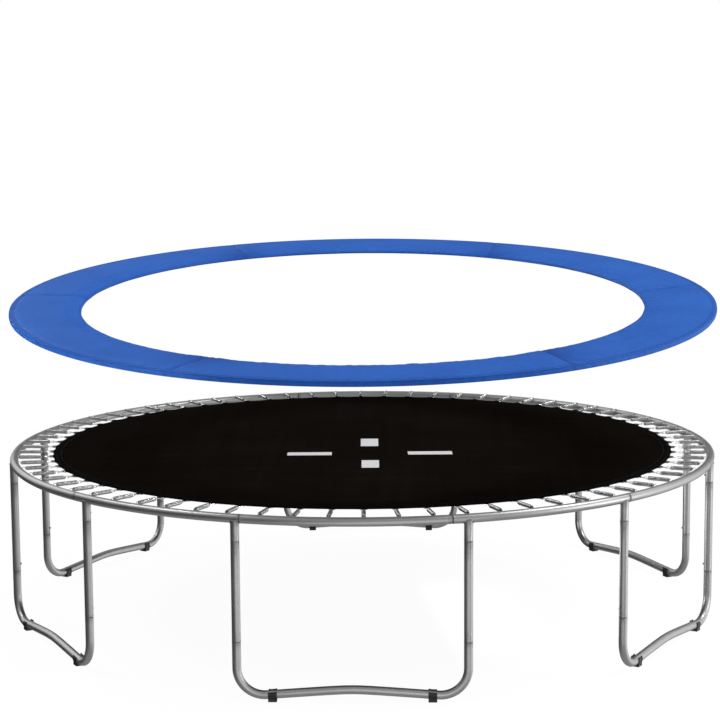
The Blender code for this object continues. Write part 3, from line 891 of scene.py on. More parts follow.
def spring_line():
    """Wire centreline: x out along the radius, y across, z up, all about the mat plane."""
    tip = RING_TIP_R
    hook_x = tip - 0.0036
    c = hook_x + 0.0052
    pts = [(c + 0.0075, 0.0, -0.0038), (c + 0.0040, 0.0, -0.0050), (c, 0.0, -0.0052),
           (c - 0.0037, 0.0, -0.0037), (c - 0.0052, 0.0, 0.0), (c - 0.0037, 0.0, 0.0037),
           (c, 0.0, 0.0052), (c + 0.0040, 0.0, 0.0050), (c + 0.0075, 0.0, 0.0042)]
    start = catmull(pts, 5)
    x0 = c + 0.0085
    tilt = 0.020
    coil = []
    per = 16
    turns_in, turns, turns_out = 1.0, 36, 2.0
    x_a, x_b = 1.6740, 1.7775
    total_in = int(turns_in * per)
    for i in range(total_in):
        t = i / total_in
        x = x0 + (x_a - x0) * t
        r = 0.0034 + (COIL_MEAN - 0.0034) * math.sin(0.5 * math.pi * t)
        a = 0.5 * math.pi + 2 * math.pi * turns_in * t
        coil.append((x, r * math.cos(a), r * math.sin(a)))
    for i in range(turns * per + 1):
        t = i / (turns * per)
        a = 0.5 * math.pi + 2 * math.pi * turns * t
        coil.append((x_a + (x_b - x_a) * t, COIL_MEAN * math.cos(a), COIL_MEAN * math.sin(a)))
    total_out = int(turns_out * per)
    x_c = 1.7852
    for i in range(1, total_out + 1):
        t = i / total_out
        x = x_b + (x_c - x_b) * t
        r = COIL_MEAN + (0.0030 - COIL_MEAN) * (1 - math.cos(0.5 * math.pi * t))
        a = 0.5 * math.pi + 2 * math.pi * turns_out * t
        coil.append((x, r * math.cos(a), r * math.sin(a)))
    coil = np.array(coil)
    coil[:, 2] += (coil[:, 0] - 1.655) * tilt
    end_pts = [tuple(coil[-1]), (1.7885, 0.0, 0.0078), (1.7920, 0.0, 0.0098), (1.7958, 0.0, 0.0092),
               (1.7986, 0.0, 0.0062), (1.8000, 0.0, 0.0012), (1.8008, 0.0, -0.0050)]
    end = catmull(end_pts, 5)[1:]
    line = np.concatenate([start, coil, end])
    line[:, 2] += MAT_Z
    return line


def ring_line():
    """V ring: a bar in the webbing and two arms to a rounded point, x out along the radius."""
    hw, base, tip = 0.0175, 1.6262, RING_TIP_R
    rb, rt = 0.0045, 0.0042
    corners = [((base, -hw), rb), ((base, hw), rb), ((tip + 0.0042, 0.0), rt)]
    pts = []
    for i, (c, r) in enumerate(corners):
        c = np.array(c)
        p, q = np.array(corners[i - 1][0]), np.array(corners[(i + 1) % 3][0])
        a, b = (p - c) / np.linalg.norm(p - c), (q - c) / np.linalg.norm(q - c)
        half = 0.5 * math.acos(float(np.clip(np.dot(a, b), -1, 1)))
        run = r / math.tan(half)
        mid = (a + b) / np.linalg.norm(a + b)
        centre = c + mid * (r / math.sin(half))
        s, e = c + a * run, c + b * run
        v1, v2 = s - centre, e - centre
        a1, a2 = math.atan2(v1[1], v1[0]), math.atan2(v2[1], v2[0])
        d = (a2 - a1 + math.pi) % (2 * math.pi) - math.pi
        for k in range(8):
            t = a1 + d * k / 7
            pts.append(centre + r * np.array([math.cos(t), math.sin(t)]))
        for k in range(1, 5):
            t = k / 5
            nxt = np.array(corners[(i + 1) % 3][0])
            rr = corners[(i + 1) % 3][1]
            # straight arm towards the next corner
            d2 = np.array(corners[(i + 2) % 3][0]) - nxt
            aa = (c - nxt) / np.linalg.norm(c - nxt)
            bb = d2 / np.linalg.norm(d2)
            h2 = 0.5 * math.acos(float(np.clip(np.dot(aa, bb), -1, 1)))
            target = nxt + aa * (rr / math.tan(h2))
            pts.append(e + (target - e) * t)
    pts = np.array(pts)
    # move the whole point so that its tip stands at RING_TIP_R
    shift = tip - pts[:, 0].max()
    scale = (tip - base) / (pts[:, 0].max() - base)
    pts[:, 0] = base + (pts[:, 0] - base) * scale
    return np.stack([pts[:, 0], pts[:, 1], np.full(len(pts), MAT_Z)], 1)


def springs():
    line = spring_line()
    v, f = sweep(line, WIRE, 6, up=(0, 1, 0))
    s = Shape()
    s.add_out(v, f)
    spring = s.mesh("coil_spring", [SPRING_M], 60.0)
    rl = ring_line()
    v, f = sweep(rl, 0.0019, 8, up=(0, 0, 1), closed=True)
    s = Shape()
    s.add_out(v, f)
    ring = s.mesh("v_ring", [RING_M], 60.0)
    loop = webbing_loop()
    n = 0
    for k in range(SECTIONS):
        for d in HOOK_DEGS:
            az = -90.0 + PHASE + 30.0 * k + d
            n += 1
            jitter = RNG.uniform(-0.35, 0.35)
            rot = Matrix.Rotation(math.radians(az), 4, "Z")
            me = spring.copy()
            roll = RNG.uniform(-4.0, 4.0)
            # each spring is rolled a little about its own length
            axis = Matrix.Translation((0, 0, MAT_Z)) @ Matrix.Rotation(math.radians(roll), 4, "X") @ Matrix.Translation((0, 0, -MAT_Z))
            me.transform(rot @ axis)
            me.update()
            o = add_object(f"coil_spring_{n:02d}", me)
            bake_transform(o)
            if d == HOOK_DEGS[0]:
                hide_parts(f"spring_bank_{k + 1:02d}")
            me = ring.copy()
            me.transform(Matrix.Rotation(math.radians(az), 4, "Z") @ Matrix.Translation((1.654, 0, 0)) @ Matrix.Rotation(math.radians(jitter * 6), 4, "Z") @ Matrix.Translation((-1.654, 0, 0)))
            me.update()
            o = add_object(f"v_ring_{n:02d}", me)
            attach(o, "mat")
            me = loop.copy()
            me.transform(Matrix.Rotation(math.radians(az), 4, "Z"))
            me.update()
            o = add_object(f"ring_loop_{n:02d}", me)
            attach(o, "mat")


# ------------------------------------------------------------------ mat, hem and webbing
def webbing_loop():
    """Folded strap that holds a V ring: over the mat edge, round the bar and back beneath."""
    t = 0.0011
    hw = 0.0130
    r = 0.0031
    # centre path from the top tail round the bar to the bottom tail, (x, z)
    path = [(1.5720, 0.0026), (1.5850, 0.0029), (1.5990, 0.0031), (1.6110, 0.0034), (1.6200, 0.0032)]
    for k in range(0, 13):
        a = math.radians(90 - 180 * k / 12)
        path.append((1.6262 + r * math.cos(a), r * math.sin(a)))
    path += [(1.6200, -0.0032), (1.6110, -0.0036), (1.5990, -0.0034), (1.5850, -0.0031), (1.5720, -0.0026)]
    p = np.array(path)
    d = np.gradient(p, axis=0)
    d /= np.linalg.norm(d, axis=1)[:, None]
    nrm = np.stack([d[:, 1], -d[:, 0]], 1)
    # nrm points to the outside of the fold
    if np.dot(nrm[len(p) // 2], np.array([1.0, 0.0])) < 0:
        nrm = -nrm
    cols = [(-hw, 0.55), (-hw + 0.0008, 1.0), (-0.5 * hw, 1.0), (0.0, 1.0), (0.5 * hw, 1.0), (hw - 0.0008, 1.0), (hw, 0.55)]
    rings = []
    for i in range(len(p)):
        up = [(p[i] + nrm[i] * 0.5 * t * g, y) for y, g in cols]
        dn = [(p[i] - nrm[i] * 0.5 * t * g, y) for y, g in reversed(cols)]
        rings.append([(q[0], y, MAT_Z + q[1]) for q, y in up + dn])
    m = len(rings[0])
    v = np.array(rings).reshape(-1, 3)
    f = []
    for k in range(len(rings) - 1):
        for i in range(m):
            j = (i + 1) % m
            f.append((k * m + i, k * m + j, (k + 1) * m + j, (k + 1) * m + i))
    f.append(tuple(range(m - 1, -1, -1)))
    f.append(tuple((len(rings) - 1) * m + i for i in range(m)))
    s = Shape()
    s.add_out(v, f, 0)
    # box stitching on the top tail
    add_stitch_run(s, [(1.5750, -0.0100, MAT_Z + 0.0034), (1.5750, 0.0100, MAT_Z + 0.0034)], 0.0042, mat=1)
    add_stitch_run(s, [(1.5890, -0.0100, MAT_Z + 0.0037), (1.5890, 0.0100, MAT_Z + 0.0037)], 0.0042, mat=1)
    add_stitch_run(s, [(1.6160, -0.0100, MAT_Z + 0.0041), (1.6160, 0.0100, MAT_Z + 0.0041)], 0.0042, mat=1)
    return s.mesh("ring_loop", [WEB_M, HEM_THREAD_M], 50.0)


def add_stitch_run(shape, pts, pitch, mat=0, r=0.00042, fill=0.68, up=(0, 0, 1)):
    """A row of short raised stitches along a polyline."""
    p = np.asarray(pts, float)
    seg = np.linalg.norm(np.diff(p, axis=0), axis=1)
    along = np.concatenate([[0], np.cumsum(seg)])
    count = max(1, int(along[-1] / pitch))
    step = along[-1] / count
    upv = np.array(up, float)
    for i in range(count):
        a = (i + 0.5 * (1 - fill)) * step
        b = a + fill * step
        q = [np.array([np.interp(x, along, p[:, k]) for k in range(3)]) for x in (a, 0.75 * a + 0.25 * b, 0.25 * a + 0.75 * b, b)]
        q[0] = q[0] - upv * r * 1.6
        q[3] = q[3] - upv * r * 1.6
        v, f = sweep(q, [r * 0.8, r, r, r * 0.8], 5, up=up)
        shape.add(v, f, mat)


def mat_ripple(r, th):
    """Small relief of the stretched cloth: a slight sag, and pulls towards each ring."""
    edge = np.clip((r - 1.30) / 0.30, 0, 1) ** 2
    pull = np.cos(72 * (th - math.radians(-90 + PHASE + 2.5)))
    sag = -0.0016 * (1 - (r / 1.6) ** 2)
    calm = np.clip(r / 0.6, 0, 1) ** 2
    wave = calm * 0.0004 * np.sin(5 * th + 1.1) * np.sin(4.0 * r) + calm * 0.0003 * np.sin(9 * th + 0.4) * np.sin(7.0 * r + 0.6)
    return sag + edge * 0.0004 * pull + wave


def mat_sheet():
    nt = 288
    radii = [0.0, 0.05, 0.12, 0.2, 0.3, 0.4, 0.5, 0.6, 0.7, 0.8, 0.9, 1.0, 1.1, 1.2, 1.28, 1.34, 1.40, 1.45, 1.49, 1.52, 1.55, 1.575, 1.5980]
    half = 0.0006
    verts, faces = [], []
    layers = []
    for sgn in (1, -1):
        rows = []
        for r in radii:
            if r == 0.0:
                rows.append([len(verts)])
                verts.append((0, 0, MAT_Z + mat_ripple(0.0, 0.0) + sgn * half))
                continue
            row = []
            for i in range(nt):
                th = 2 * math.pi * i / nt
                row.append(len(verts))
                verts.append((r * math.cos(th), r * math.sin(th), MAT_Z + float(mat_ripple(r, th)) + sgn * half))
            rows.append(row)
        layers.append(rows)
        for a, b in zip(rows[:-1], rows[1:]):
            for i in range(nt):
                j = (i + 1) % nt
                if len(a) == 1:
                    q = (a[0], b[i], b[j])
                else:
                    q = (a[i], b[i], b[j], a[j])
                faces.append(q if sgn == 1 else tuple(reversed(q)))
    top, low = layers[0][-1], layers[1][-1]
    for i in range(nt):
        j = (i + 1) % nt
        faces.append((top[i], low[i], low[j], top[j]))
    s = Shape()
    s.add_out(np.array(verts), faces)
    o = add_object("jump_mat_cloth", s.mesh("jump_mat_cloth", [MAT_M], 60.0))
    return o


def hem_edge(th_deg):
    """Outer edge of the hem: drawn out at each ring, slack between."""
    d = abs((th_deg - (-90 + PHASE)) % 5.0 - 2.5)      # degrees from the nearest ring
    k = 0.5 + 0.5 * math.cos(math.pi * min(1.0, d / 2.5))
    return 1.6085 + 0.0055 * k ** 1.4


def hem():
    """Webbing hem sewn round the mat in two layers, above and below it."""
    nt = 864
    verts, faces = [], []
    rows = []
    for i in range(nt):
        th_deg = 360.0 * i / nt
        th = math.radians(th_deg)
        ro = hem_edge(th_deg)
        wob = 0.0004 * math.sin(11 * th) + 0.0003 * math.sin(23 * th + 1)
        prof = [(1.5640 + wob, 0.0007), (1.5642 + wob, 0.00175), (1.5680, 0.0020), (1.5860, 0.00215), (ro - 0.0045, 0.0024),
                (ro - 0.0012, 0.0017), (ro, 0.0002), (ro, -0.0018), (ro - 0.0012, -0.0034), (ro - 0.0045, -0.0038), (1.5860, -0.0026),
                (1.5680, -0.0020), (1.5642 + wob, -0.00175), (1.5640 + wob, -0.0007)]
        row = []
        for r, z in prof:
            row.append(len(verts))
            rip = float(mat_ripple(min(r, 1.6), th))
            verts.append((r * math.cos(th), r * math.sin(th), MAT_Z + rip + z))
        rows.append(row)
    m = len(rows[0])
    for i in range(nt):
        j = (i + 1) % nt
        for k in range(m):
            l = (k + 1) % m
            faces.append((rows[i][k], rows[i][l], rows[j][l], rows[j][k]))
    s = Shape()
    s.add_out(np.array(verts), faces)
    o = add_object("mat_hem_webbing", s.mesh("mat_hem_webbing", [WEB_M], 50.0))
    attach(o, "mat")
    st = Shape()
    for r0, up_by in ((1.5690, 0.0024), (1.5965, 0.0026)):
        pts = []
        for i in range(721):
            th = 2 * math.pi * i / 720
            pts.append((r0 * math.cos(th), r0 * math.sin(th), MAT_Z + float(mat_ripple(r0, th)) + up_by))
        add_stitch_run(st, pts, 0.0075, r=0.00045)
    o2 = add_object("mat_hem_stitching", st.mesh("mat_hem_stitching", [HEM_THREAD_M], 60.0))
    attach(o2, "mat")
    return o, o2


def mat_bars():
    """Four plain pale bars, printed on the mat."""
    s = Shape()
    for cx, cy, lx, ly, deg in ((-0.2630, -0.2665, 0.2280, 0.0830, 2.2), (0.3560, -0.2425, 0.2280, 0.0870, 2.2),
                                (0.0375, 0.0620, 0.0920, 0.2180, 1.5), (0.0560, -0.5435, 0.0875, 0.1970, 1.5)):
        a = math.radians(deg)
        nx, ny = max(2, int(lx / 0.03)), max(2, int(ly / 0.03))
        verts, faces = [], []
        for layer, dz in ((0, 0.0011), (1, 0.0003)):
            for i in range(nx + 1):
                for j in range(ny + 1):
                    x, y = (i / nx - 0.5) * lx, (j / ny - 0.5) * ly
                    X = cx + x * math.cos(a) - y * math.sin(a)
                    Y = cy + x * math.sin(a) + y * math.cos(a)
                    verts.append((X, Y, MAT_Z + float(mat_ripple(math.hypot(X, Y), math.atan2(Y, X))) + dz))
        w = ny + 1
        off = (nx + 1) * w
        for i in range(nx):
            for j in range(ny):
                q = (i * w + j, (i + 1) * w + j, (i + 1) * w + j + 1, i * w + j + 1)
                faces.append(q)
                faces.append(tuple(off + k for k in reversed(q)))
        rim = [i * w for i in range(nx + 1)] + [nx * w + j for j in range(1, w)] + [i * w + ny for i in range(nx - 1, -1, -1)] + [j for j in range(ny - 1, 0, -1)]
        for i in range(len(rim)):
            a0, b0 = rim[i], rim[(i + 1) % len(rim)]
            faces.append((a0, off + a0, off + b0, b0))
        s.add_out(np.array(verts), faces)
    o = add_object("mat_printed_bars", s.mesh("mat_printed_bars", [PRINT_M], 50.0))
    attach(o, "mat")
    return o


# ------------------------------------------------------------------ padded ring
# each sewn joint: azimuth, lean from inner to outer edge, depth of the dip beside it to the left and right, painted
# shade there to the left and right, and how far that shade reaches
SEAMS = ((-55.9, -2.4, 0.0004, 0.0030, 0.00, 0.85, 0.16), (8.2, 5.0, 0.0006, 0.0008, 0.06, 0.06, 0.08),
         (63.5, 4.5, 0.0020, 0.0012, 0.55, 0.40, 0.16), (118.0, -1.2, 0.0012, 0.0018, 0.40, 0.60, 0.16),
         (176.5, 0.0, 0.0006, 0.0006, 0.06, 0.06, 0.08), (-117.0, -0.8, 0.0016, 0.0022, 0.60, 0.75, 0.20))
PAD_W = PAD_OUT - PAD_IN


def waves(seed, orders, amp):
    rs = random.Random(seed)
    return [(k, rs.uniform(0, 2 * math.pi), amp * rs.uniform(0.5, 1.0)) for k in orders]


def wave_at(ws, th):
    return sum(a * math.sin(k * th + p) for k, p, a in ws)


PAD_LONG = waves(1, (7, 11, 16, 23), 0.00035)
PAD_IN_PUCKER = waves(2, (61, 83, 104, 137, 171), 0.00025)
PAD_OUT_PUCKER = waves(3, (73, 97, 121, 149, 188), 0.00025)
PAD_SIDE = waves(4, (90, 133, 167, 201), 0.0003)
PAD_EDGE_IN = waves(5, (6, 14, 29, 47), 0.0006)


def seam_near(th_deg, q):
    """Dip, thread-line darkness and soft painted shade beside the dip at one place; q runs 0..1 from inner to outer
    edge.
    """
    dz = dark = broad_shade = 0.0
    pinned = False
    for az, lean, dip_l, dip_r, shade_l, shade_r, reach in SEAMS:
        d = (th_deg - (az + lean * (q - 0.5)) + 180.0) % 360.0 - 180.0
        m = math.radians(d) * (PAD_IN + PAD_W * q)
        if abs(m) > 0.7:
            continue
        dz -= 0.0034 * math.exp(-(m / 0.0080) ** 2)
        fade = max(0.0, 1.0 - q) ** 0.9
        # the pad is seen from its middle, so rising azimuth runs to the left at the back and the right in front
        side_dip, side_shade = (dip_r, shade_r) if m > 0 else (dip_l, shade_l)
        dz -= side_dip * math.exp(-abs(m) / 0.07) * (0.35 + 0.9 * fade)
        # painted shade: a broad darker patch beside the seam, strongest at the inner edge, standing in for the shade of
        # the dip
        broad_shade = max(broad_shade, side_shade * math.exp(-(abs(m) / reach) ** 1.6) * fade)
        dark = max(dark, math.exp(-((m - 0.0008) / 0.0042) ** 2))
        pinned = pinned or abs(m) < 0.0075
    return dz, dark, broad_shade, pinned


def top_height(x):
    """Height of the cover's top over its width; x in metres from the inner edge."""
    rise = 1.0 - (1.0 - min(1.0, x / 0.060)) ** 2.4
    z = 0.0080 + 0.0178 * rise + 0.0016 * math.sin(math.pi * x / PAD_W)
    out = max(0.0, (x - (PAD_W - 0.016)) / 0.016)
    return z - 0.0010 * out * out


TOP_X = [0.0050, 0.0090, 0.0140] + [0.0240 + (0.3360 - 0.0240) * i / 26 for i in range(27)] + [0.3440, 0.3475, 0.3510, 0.3560, 0.3605]
STITCH_X = (0.0090, 0.3440, 0.3510)


def pad_ring():
    nt = 900
    verts, wear_and_shade, pins = [], [], []
    for i in range(nt):
        th = 2 * math.pi * i / nt
        th_deg = math.degrees(th)
        long_w, pin, pout, side, ein = (wave_at(w, th) for w in (PAD_LONG, PAD_IN_PUCKER, PAD_OUT_PUCKER, PAD_SIDE, PAD_EDGE_IN))
        r_in = PAD_IN + 0.0015 + ein
        row = []
        # w darkens the cover along its edges, stitch rows and seam lines, and carries the painted shade beside the
        # seams
        dz0, dark0, broad_shade0, pin0 = seam_near(th_deg, 0.0)
        for dr, z, w in ((0.0050, 0.0006, 0.4), (0.0008, 0.0010, 0.6), (0.0000, 0.0030, 0.45), (-0.0004, 0.0058, 0.30), (0.0012, 0.0080, 0.20)):
            row.append((r_in + dr + 0.3 * pin, z + (0.3 * dz0 if z > 0.005 else 0.0), max(w, 0.8 * dark0, broad_shade0), True))
        for x in TOP_X:
            q = x / PAD_W
            dz, dark, broad_shade, pinned = seam_near(th_deg, q)
            sewn = x in STITCH_X
            z = top_height(x) + long_w * math.sin(math.pi * q) + pin * math.exp(-x / 0.04) + pout * math.exp(-(PAD_W - x) / 0.03)
            if sewn:
                z -= 0.0007
            # the soft inner edge can sink only a little before it meets the underside
            z = max(z + dz * min(1.0, z / 0.024), 0.0062)
            row.append((r_in + (PAD_W - 0.0015) * q + (0.0 if q > 0.1 else 0.2 * pin), z, max(0.9 * dark, broad_shade, 0.30 if sewn else 0.0), sewn or pinned))
        dz, dark, broad_shade, pinned = seam_near(th_deg, 1.0)
        for dr, z, w, fixed in ((-0.0022, 0.0259, 0.35, True), (-0.0004, 0.0264, 0.10, True), (0.0007, 0.0255, 0.10, True), (0.0005, 0.0238, 0.70, True),
                                (0.0010, 0.0205, 0.0, False), (0.0017, 0.0160, 0.0, False), (0.0020, 0.0115, 0.0, False), (0.0016, 0.0070, 0.0, False),
                                (0.0007, 0.0030, 0.15, True), (-0.0008, 0.0008, 0.65, True), (-0.0050, 0.0003, 0.3, True)):
            row.append((PAD_OUT + dr + (0.8 * side if 0.004 < z < 0.022 else 0.0), z + (0.5 * dz if z > 0.022 else 0.0), max(w, 0.85 * dark if z > 0.001 else w), fixed or pinned))
        blue = len(row)
        for q in (0.93, 0.80, 0.66, 0.52, 0.38, 0.24, 0.12, 0.045):
            row.append((r_in + (PAD_W - 0.0015) * q, 0.0002 + 0.0005 * (0.5 + 0.5 * math.sin(13 * th + 9 * q)), 0.0, True))
        for r, z, w, fixed in row:
            verts.append((r * math.cos(th), r * math.sin(th), z))
            wear_and_shade.append(w)
            pins.append(fixed)
    m = len(row)
    faces, mats = [], []
    for i in range(nt):
        j = (i + 1) % nt
        for k in range(m):
            l = (k + 1) % m
            faces.append((i * m + k, i * m + l, j * m + l, j * m + k))
            mats.append(0 if k < blue - 1 else 1)
    s = Shape()
    s.add_out(np.array(verts), faces, 0, wear_and_shade)
    s.m = mats
    return s.mesh("padded_spring_cover", [COVER_M, UNDER_M], 50.0), pins


def inflate(me, pins, cap=0.0042, frames=18):
    """Blows the sewn cover up a little as cloth, held along its stitch lines, and keeps the swelling small."""
    work = add_object("cover_work", me.copy())
    group = work.vertex_groups.new(name="sewn")
    group.add([i for i, p in enumerate(pins) if p], 1.0, "REPLACE")
    mod = work.modifiers.new("Cloth", "CLOTH")
    st = mod.settings
    st.quality = 5
    st.mass = 0.3
    st.tension_stiffness = 18.0
    st.compression_stiffness = 10.0
    st.shear_stiffness = 6.0
    st.bending_stiffness = 0.6
    st.vertex_group_mass = "sewn"
    st.shrink_min = -0.014
    st.use_pressure = True
    st.uniform_pressure_force = 0.9
    st.effector_weights.gravity = 0.0
    mod.collision_settings.use_collision = False
    mod.collision_settings.use_self_collision = False
    mod.point_cache.frame_start = 1
    mod.point_cache.frame_end = frames
    scene = bpy.context.scene
    for f in range(1, frames + 1):
        scene.frame_set(f)
    ev = work.evaluated_get(bpy.context.evaluated_depsgraph_get())
    done = ev.to_mesh()
    n = len(me.vertices)
    new, old = np.empty(3 * n), np.empty(3 * n)
    done.vertices.foreach_get("co", new)
    me.vertices.foreach_get("co", old)
    ev.to_mesh_clear()
    new, old = new.reshape(-1, 3), old.reshape(-1, 3)
    d = new - old
    size = np.linalg.norm(d, axis=1)
    keep = np.where(size > 1e-7, cap * np.tanh(size / cap) / np.maximum(size, 1e-7), 1.0)
    d *= keep[:, None]
    d[np.array(pins)] = 0.0
    out = old + d
    out[:, 2] = np.maximum(out[:, 2], 0.0)
    me.vertices.foreach_set("co", out.reshape(-1))
    me.update()
    bpy.data.objects.remove(work)
    scene.frame_set(1)
    return float(size.max()), float(size.mean())


def cover_stitching():
    """Thread rows of the cover: two round the outer edge, one round the inner, and a pair at each joint."""
    s = Shape()

    def surface(th_deg, x):
        th = math.radians(th_deg)
        q = x / PAD_W
        dz = seam_near(th_deg, q)[0]
        long_w, pin, pout, ein = (wave_at(w, th) for w in (PAD_LONG, PAD_IN_PUCKER, PAD_OUT_PUCKER, PAD_EDGE_IN))
        z = top_height(x) + long_w * math.sin(math.pi * q) + pin * math.exp(-x / 0.04) + pout * math.exp(-(PAD_W - x) / 0.03)
        z = max(z + dz * min(1.0, z / 0.024), 0.0062)
        r = PAD_IN + 0.0015 + ein + (PAD_W - 0.0015) * q
        return (r * math.cos(th), r * math.sin(th), z)

    for x in STITCH_X:
        pts = [tuple(np.array(surface(360.0 * i / 1080, x)) + np.array([0, 0, -0.0002])) for i in range(1081)]
        add_stitch_run(s, pts, 0.0085, r=0.00055)
    for az, lean, *_ in SEAMS:
        for off in (-0.0075, 0.0085):
            pts = []
            for i in range(41):
                x = 0.006 + (PAD_W - 0.012) * i / 40
                q = x / PAD_W
                r = PAD_IN + PAD_W * q
                pts.append(tuple(np.array(surface(az + lean * (q - 0.5) + math.degrees(off / r), x)) + np.array([0, 0, 0.0002])))
            add_stitch_run(s, pts, 0.0085, r=0.00055)
    return s.mesh("cover_stitching", [COVER_THREAD_M], 60.0)


def pad_place():
    return Matrix.Translation((0.008, 0, PAD_Z)) @ Matrix.Rotation(math.radians(PAD_TILT), 4, "X")


def pad_pieces():
    me, pins = pad_ring()
    print("cover swelling, most and mean:", inflate(me, pins))
    me.transform(pad_place())
    me.update()
    o = add_object("padded_spring_cover", me)
    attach(o, "pad")
    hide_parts("pad_ring")
    st = cover_stitching()
    st.transform(pad_place())
    st.update()
    o2 = add_object("cover_stitching", st)
    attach(o2, "pad")
    # webbing ties, sewn flat to the underside
    for i in range(12):
        az = 30.0 * i
        on_axis = i in (0, 6)
        s = Shape()
        tie_shape(s)
        t = s.mesh("cover_tie", [WEB_M, HEM_THREAD_M], 50.0)
        t.transform(Matrix.Translation((1.64, 0, 0)))
        t.transform(Matrix.Rotation(math.radians(az), 4, "Z"))
        if on_axis:
            t.transform(Matrix.Translation((0, 0, PAD_Z)))
            name, body = ("cover_tie_right" if i == 0 else "cover_tie_left"), "pad_ties"
        else:
            t.transform(pad_place())
            name, body = f"cover_tie_{i:02d}", "pad"
        t.update()
        o2 = add_object(name, t)
        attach(o2, body)
        if on_axis:
            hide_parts("pad_tie_right" if i == 0 else "pad_tie_left")
    return o


def tie_shape(s):
    """Flat tie: a doubled tab near its middle and a tail each way, length along x."""
    z0, z1 = -0.0032, -0.0020
    outline = [(-0.050, -0.0098), (0.050, -0.0098), (0.0555, -0.0045), (0.0555, 0.0045), (0.050, 0.0098), (-0.050, 0.0098), (-0.0555, 0.0045), (-0.0555, -0.0045)]
    v = [(x, y, z0) for x, y in outline] + [(x * 0.996, y * 0.97, z1) for x, y in outline]
    n = len(outline)
    f = [tuple(range(n - 1, -1, -1)), tuple(n + i for i in range(n))]
    for i in range(n):
        j = (i + 1) % n
        f.append((i, j, n + j, n + i))
    s.add_out(np.array(v), f)
    for y in (-0.0065, 0.0065):
        add_stitch_run(s, [(-0.016, y, z0 - 0.0001), (0.016, y, z0 - 0.0001)], 0.004, mat=1, up=(0, 0, -1))
    for sx in (-1, 1):
        add_stitch_run(s, [(-0.016, -0.0065 * sx, z0 - 0.0001), (0.016, 0.0065 * sx, z0 - 0.0001)], 0.004, mat=1, up=(0, 0, -1))


# ------------------------------------------------------------------ put it together
pad_pieces()
rails()
legs()
cloth = mat_sheet()
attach(cloth, "mat")
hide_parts("jumping_mat")
hem_obj, hem_stitch = hem()
bars = mat_bars()
springs()

# ------------------------------------------------------------------ floor, light and camera
LEFT, FRONT, RIGHT, BACK, OVERHEAD, BELOW = 0.06, 0.33, 0.60, 0.30, 0.58, 0.44
floor_me = bpy.data.meshes.new("studio_floor")
n_floor = 64
floor_me.from_pydata([(70 * math.cos(2 * math.pi * i / n_floor), 70 * math.sin(2 * math.pi * i / n_floor), 0.0) for i in range(n_floor)], [], [tuple(range(n_floor))])
floor = add_object("studio_floor", floor_me)
fm = bpy.data.materials.new("studio_floor")
fm.use_nodes = True
ft = fm.node_tree
for x in list(ft.nodes):
    ft.nodes.remove(x)


def node_of(tree, kind, **inputs):
    x = tree.nodes.new(kind)
    for k, v in inputs.items():
        x.inputs[k].default_value = v
    return x


# near the object the floor takes a faint shadow; further out it is an even pale sweep
f_out = node_of(ft, "ShaderNodeOutputMaterial")
f_diff = node_of(ft, "ShaderNodeBsdfDiffuse", Color=(0.06, 0.06, 0.06, 1.0))
f_glow = node_of(ft, "ShaderNodeEmission", Color=(1, 1, 1, 1), Strength=0.955)
f_far = node_of(ft, "ShaderNodeEmission", Color=(1, 1, 1, 1), Strength=1.0)
f_none = node_of(ft, "ShaderNodeBsdfTransparent")
f_add = ft.nodes.new("ShaderNodeAddShader")
f_mix = ft.nodes.new("ShaderNodeMixShader")
f_cam = ft.nodes.new("ShaderNodeMixShader")
f_path = ft.nodes.new("ShaderNodeLightPath")
f_coord = ft.nodes.new("ShaderNodeTexCoord")
f_len = ft.nodes.new("ShaderNodeVectorMath")
f_len.operation = "LENGTH"
f_map = ft.nodes.new("ShaderNodeMapRange")
f_map.interpolation_type = "SMOOTHSTEP"
f_map.inputs["From Min"].default_value = 2.0
f_map.inputs["From Max"].default_value = 6.0
ft.links.new(f_coord.outputs["Object"], f_len.inputs[0])
ft.links.new(f_len.outputs["Value"], f_map.inputs["Value"])
ft.links.new(f_map.outputs["Result"], f_mix.inputs["Fac"])
ft.links.new(f_diff.outputs[0], f_add.inputs[0])
ft.links.new(f_glow.outputs[0], f_add.inputs[1])
ft.links.new(f_add.outputs[0], f_mix.inputs[1])
ft.links.new(f_far.outputs[0], f_mix.inputs[2])
# only its upper side shows, so that the object can also be looked at from below
f_geo = ft.nodes.new("ShaderNodeNewGeometry")
f_up = ft.nodes.new("ShaderNodeMath")
f_up.operation = "GREATER_THAN"
ft.links.new(f_path.outputs["Is Camera Ray"], f_up.inputs[0])
ft.links.new(f_geo.outputs["Backfacing"], f_up.inputs[1])
ft.links.new(f_up.outputs[0], f_cam.inputs["Fac"])
ft.links.new(f_none.outputs[0], f_cam.inputs[1])
ft.links.new(f_mix.outputs[0], f_cam.inputs[2])
ft.links.new(f_cam.outputs[0], f_out.inputs["Surface"])
floor_me.materials.append(fm)

# the room that the object reflects: brighter to the right and overhead, darker behind and left
world = bpy.data.worlds.new("studio")
bpy.context.scene.world = world
world.use_nodes = True
wn = world.node_tree
for x in list(wn.nodes):
    wn.nodes.remove(x)
w_out = wn.nodes.new("ShaderNodeOutputWorld")
w_mix = wn.nodes.new("ShaderNodeMixShader")
w_path = wn.nodes.new("ShaderNodeLightPath")
w_seen = node_of(wn, "ShaderNodeBackground", Color=(1, 1, 1, 1), Strength=1.0)
w_lit = node_of(wn, "ShaderNodeBackground", Color=(1, 1, 1, 1))
w_coord = wn.nodes.new("ShaderNodeTexCoord")
w_sep = wn.nodes.new("ShaderNodeSeparateXYZ")
wn.links.new(w_coord.outputs["Generated"], w_sep.inputs[0])


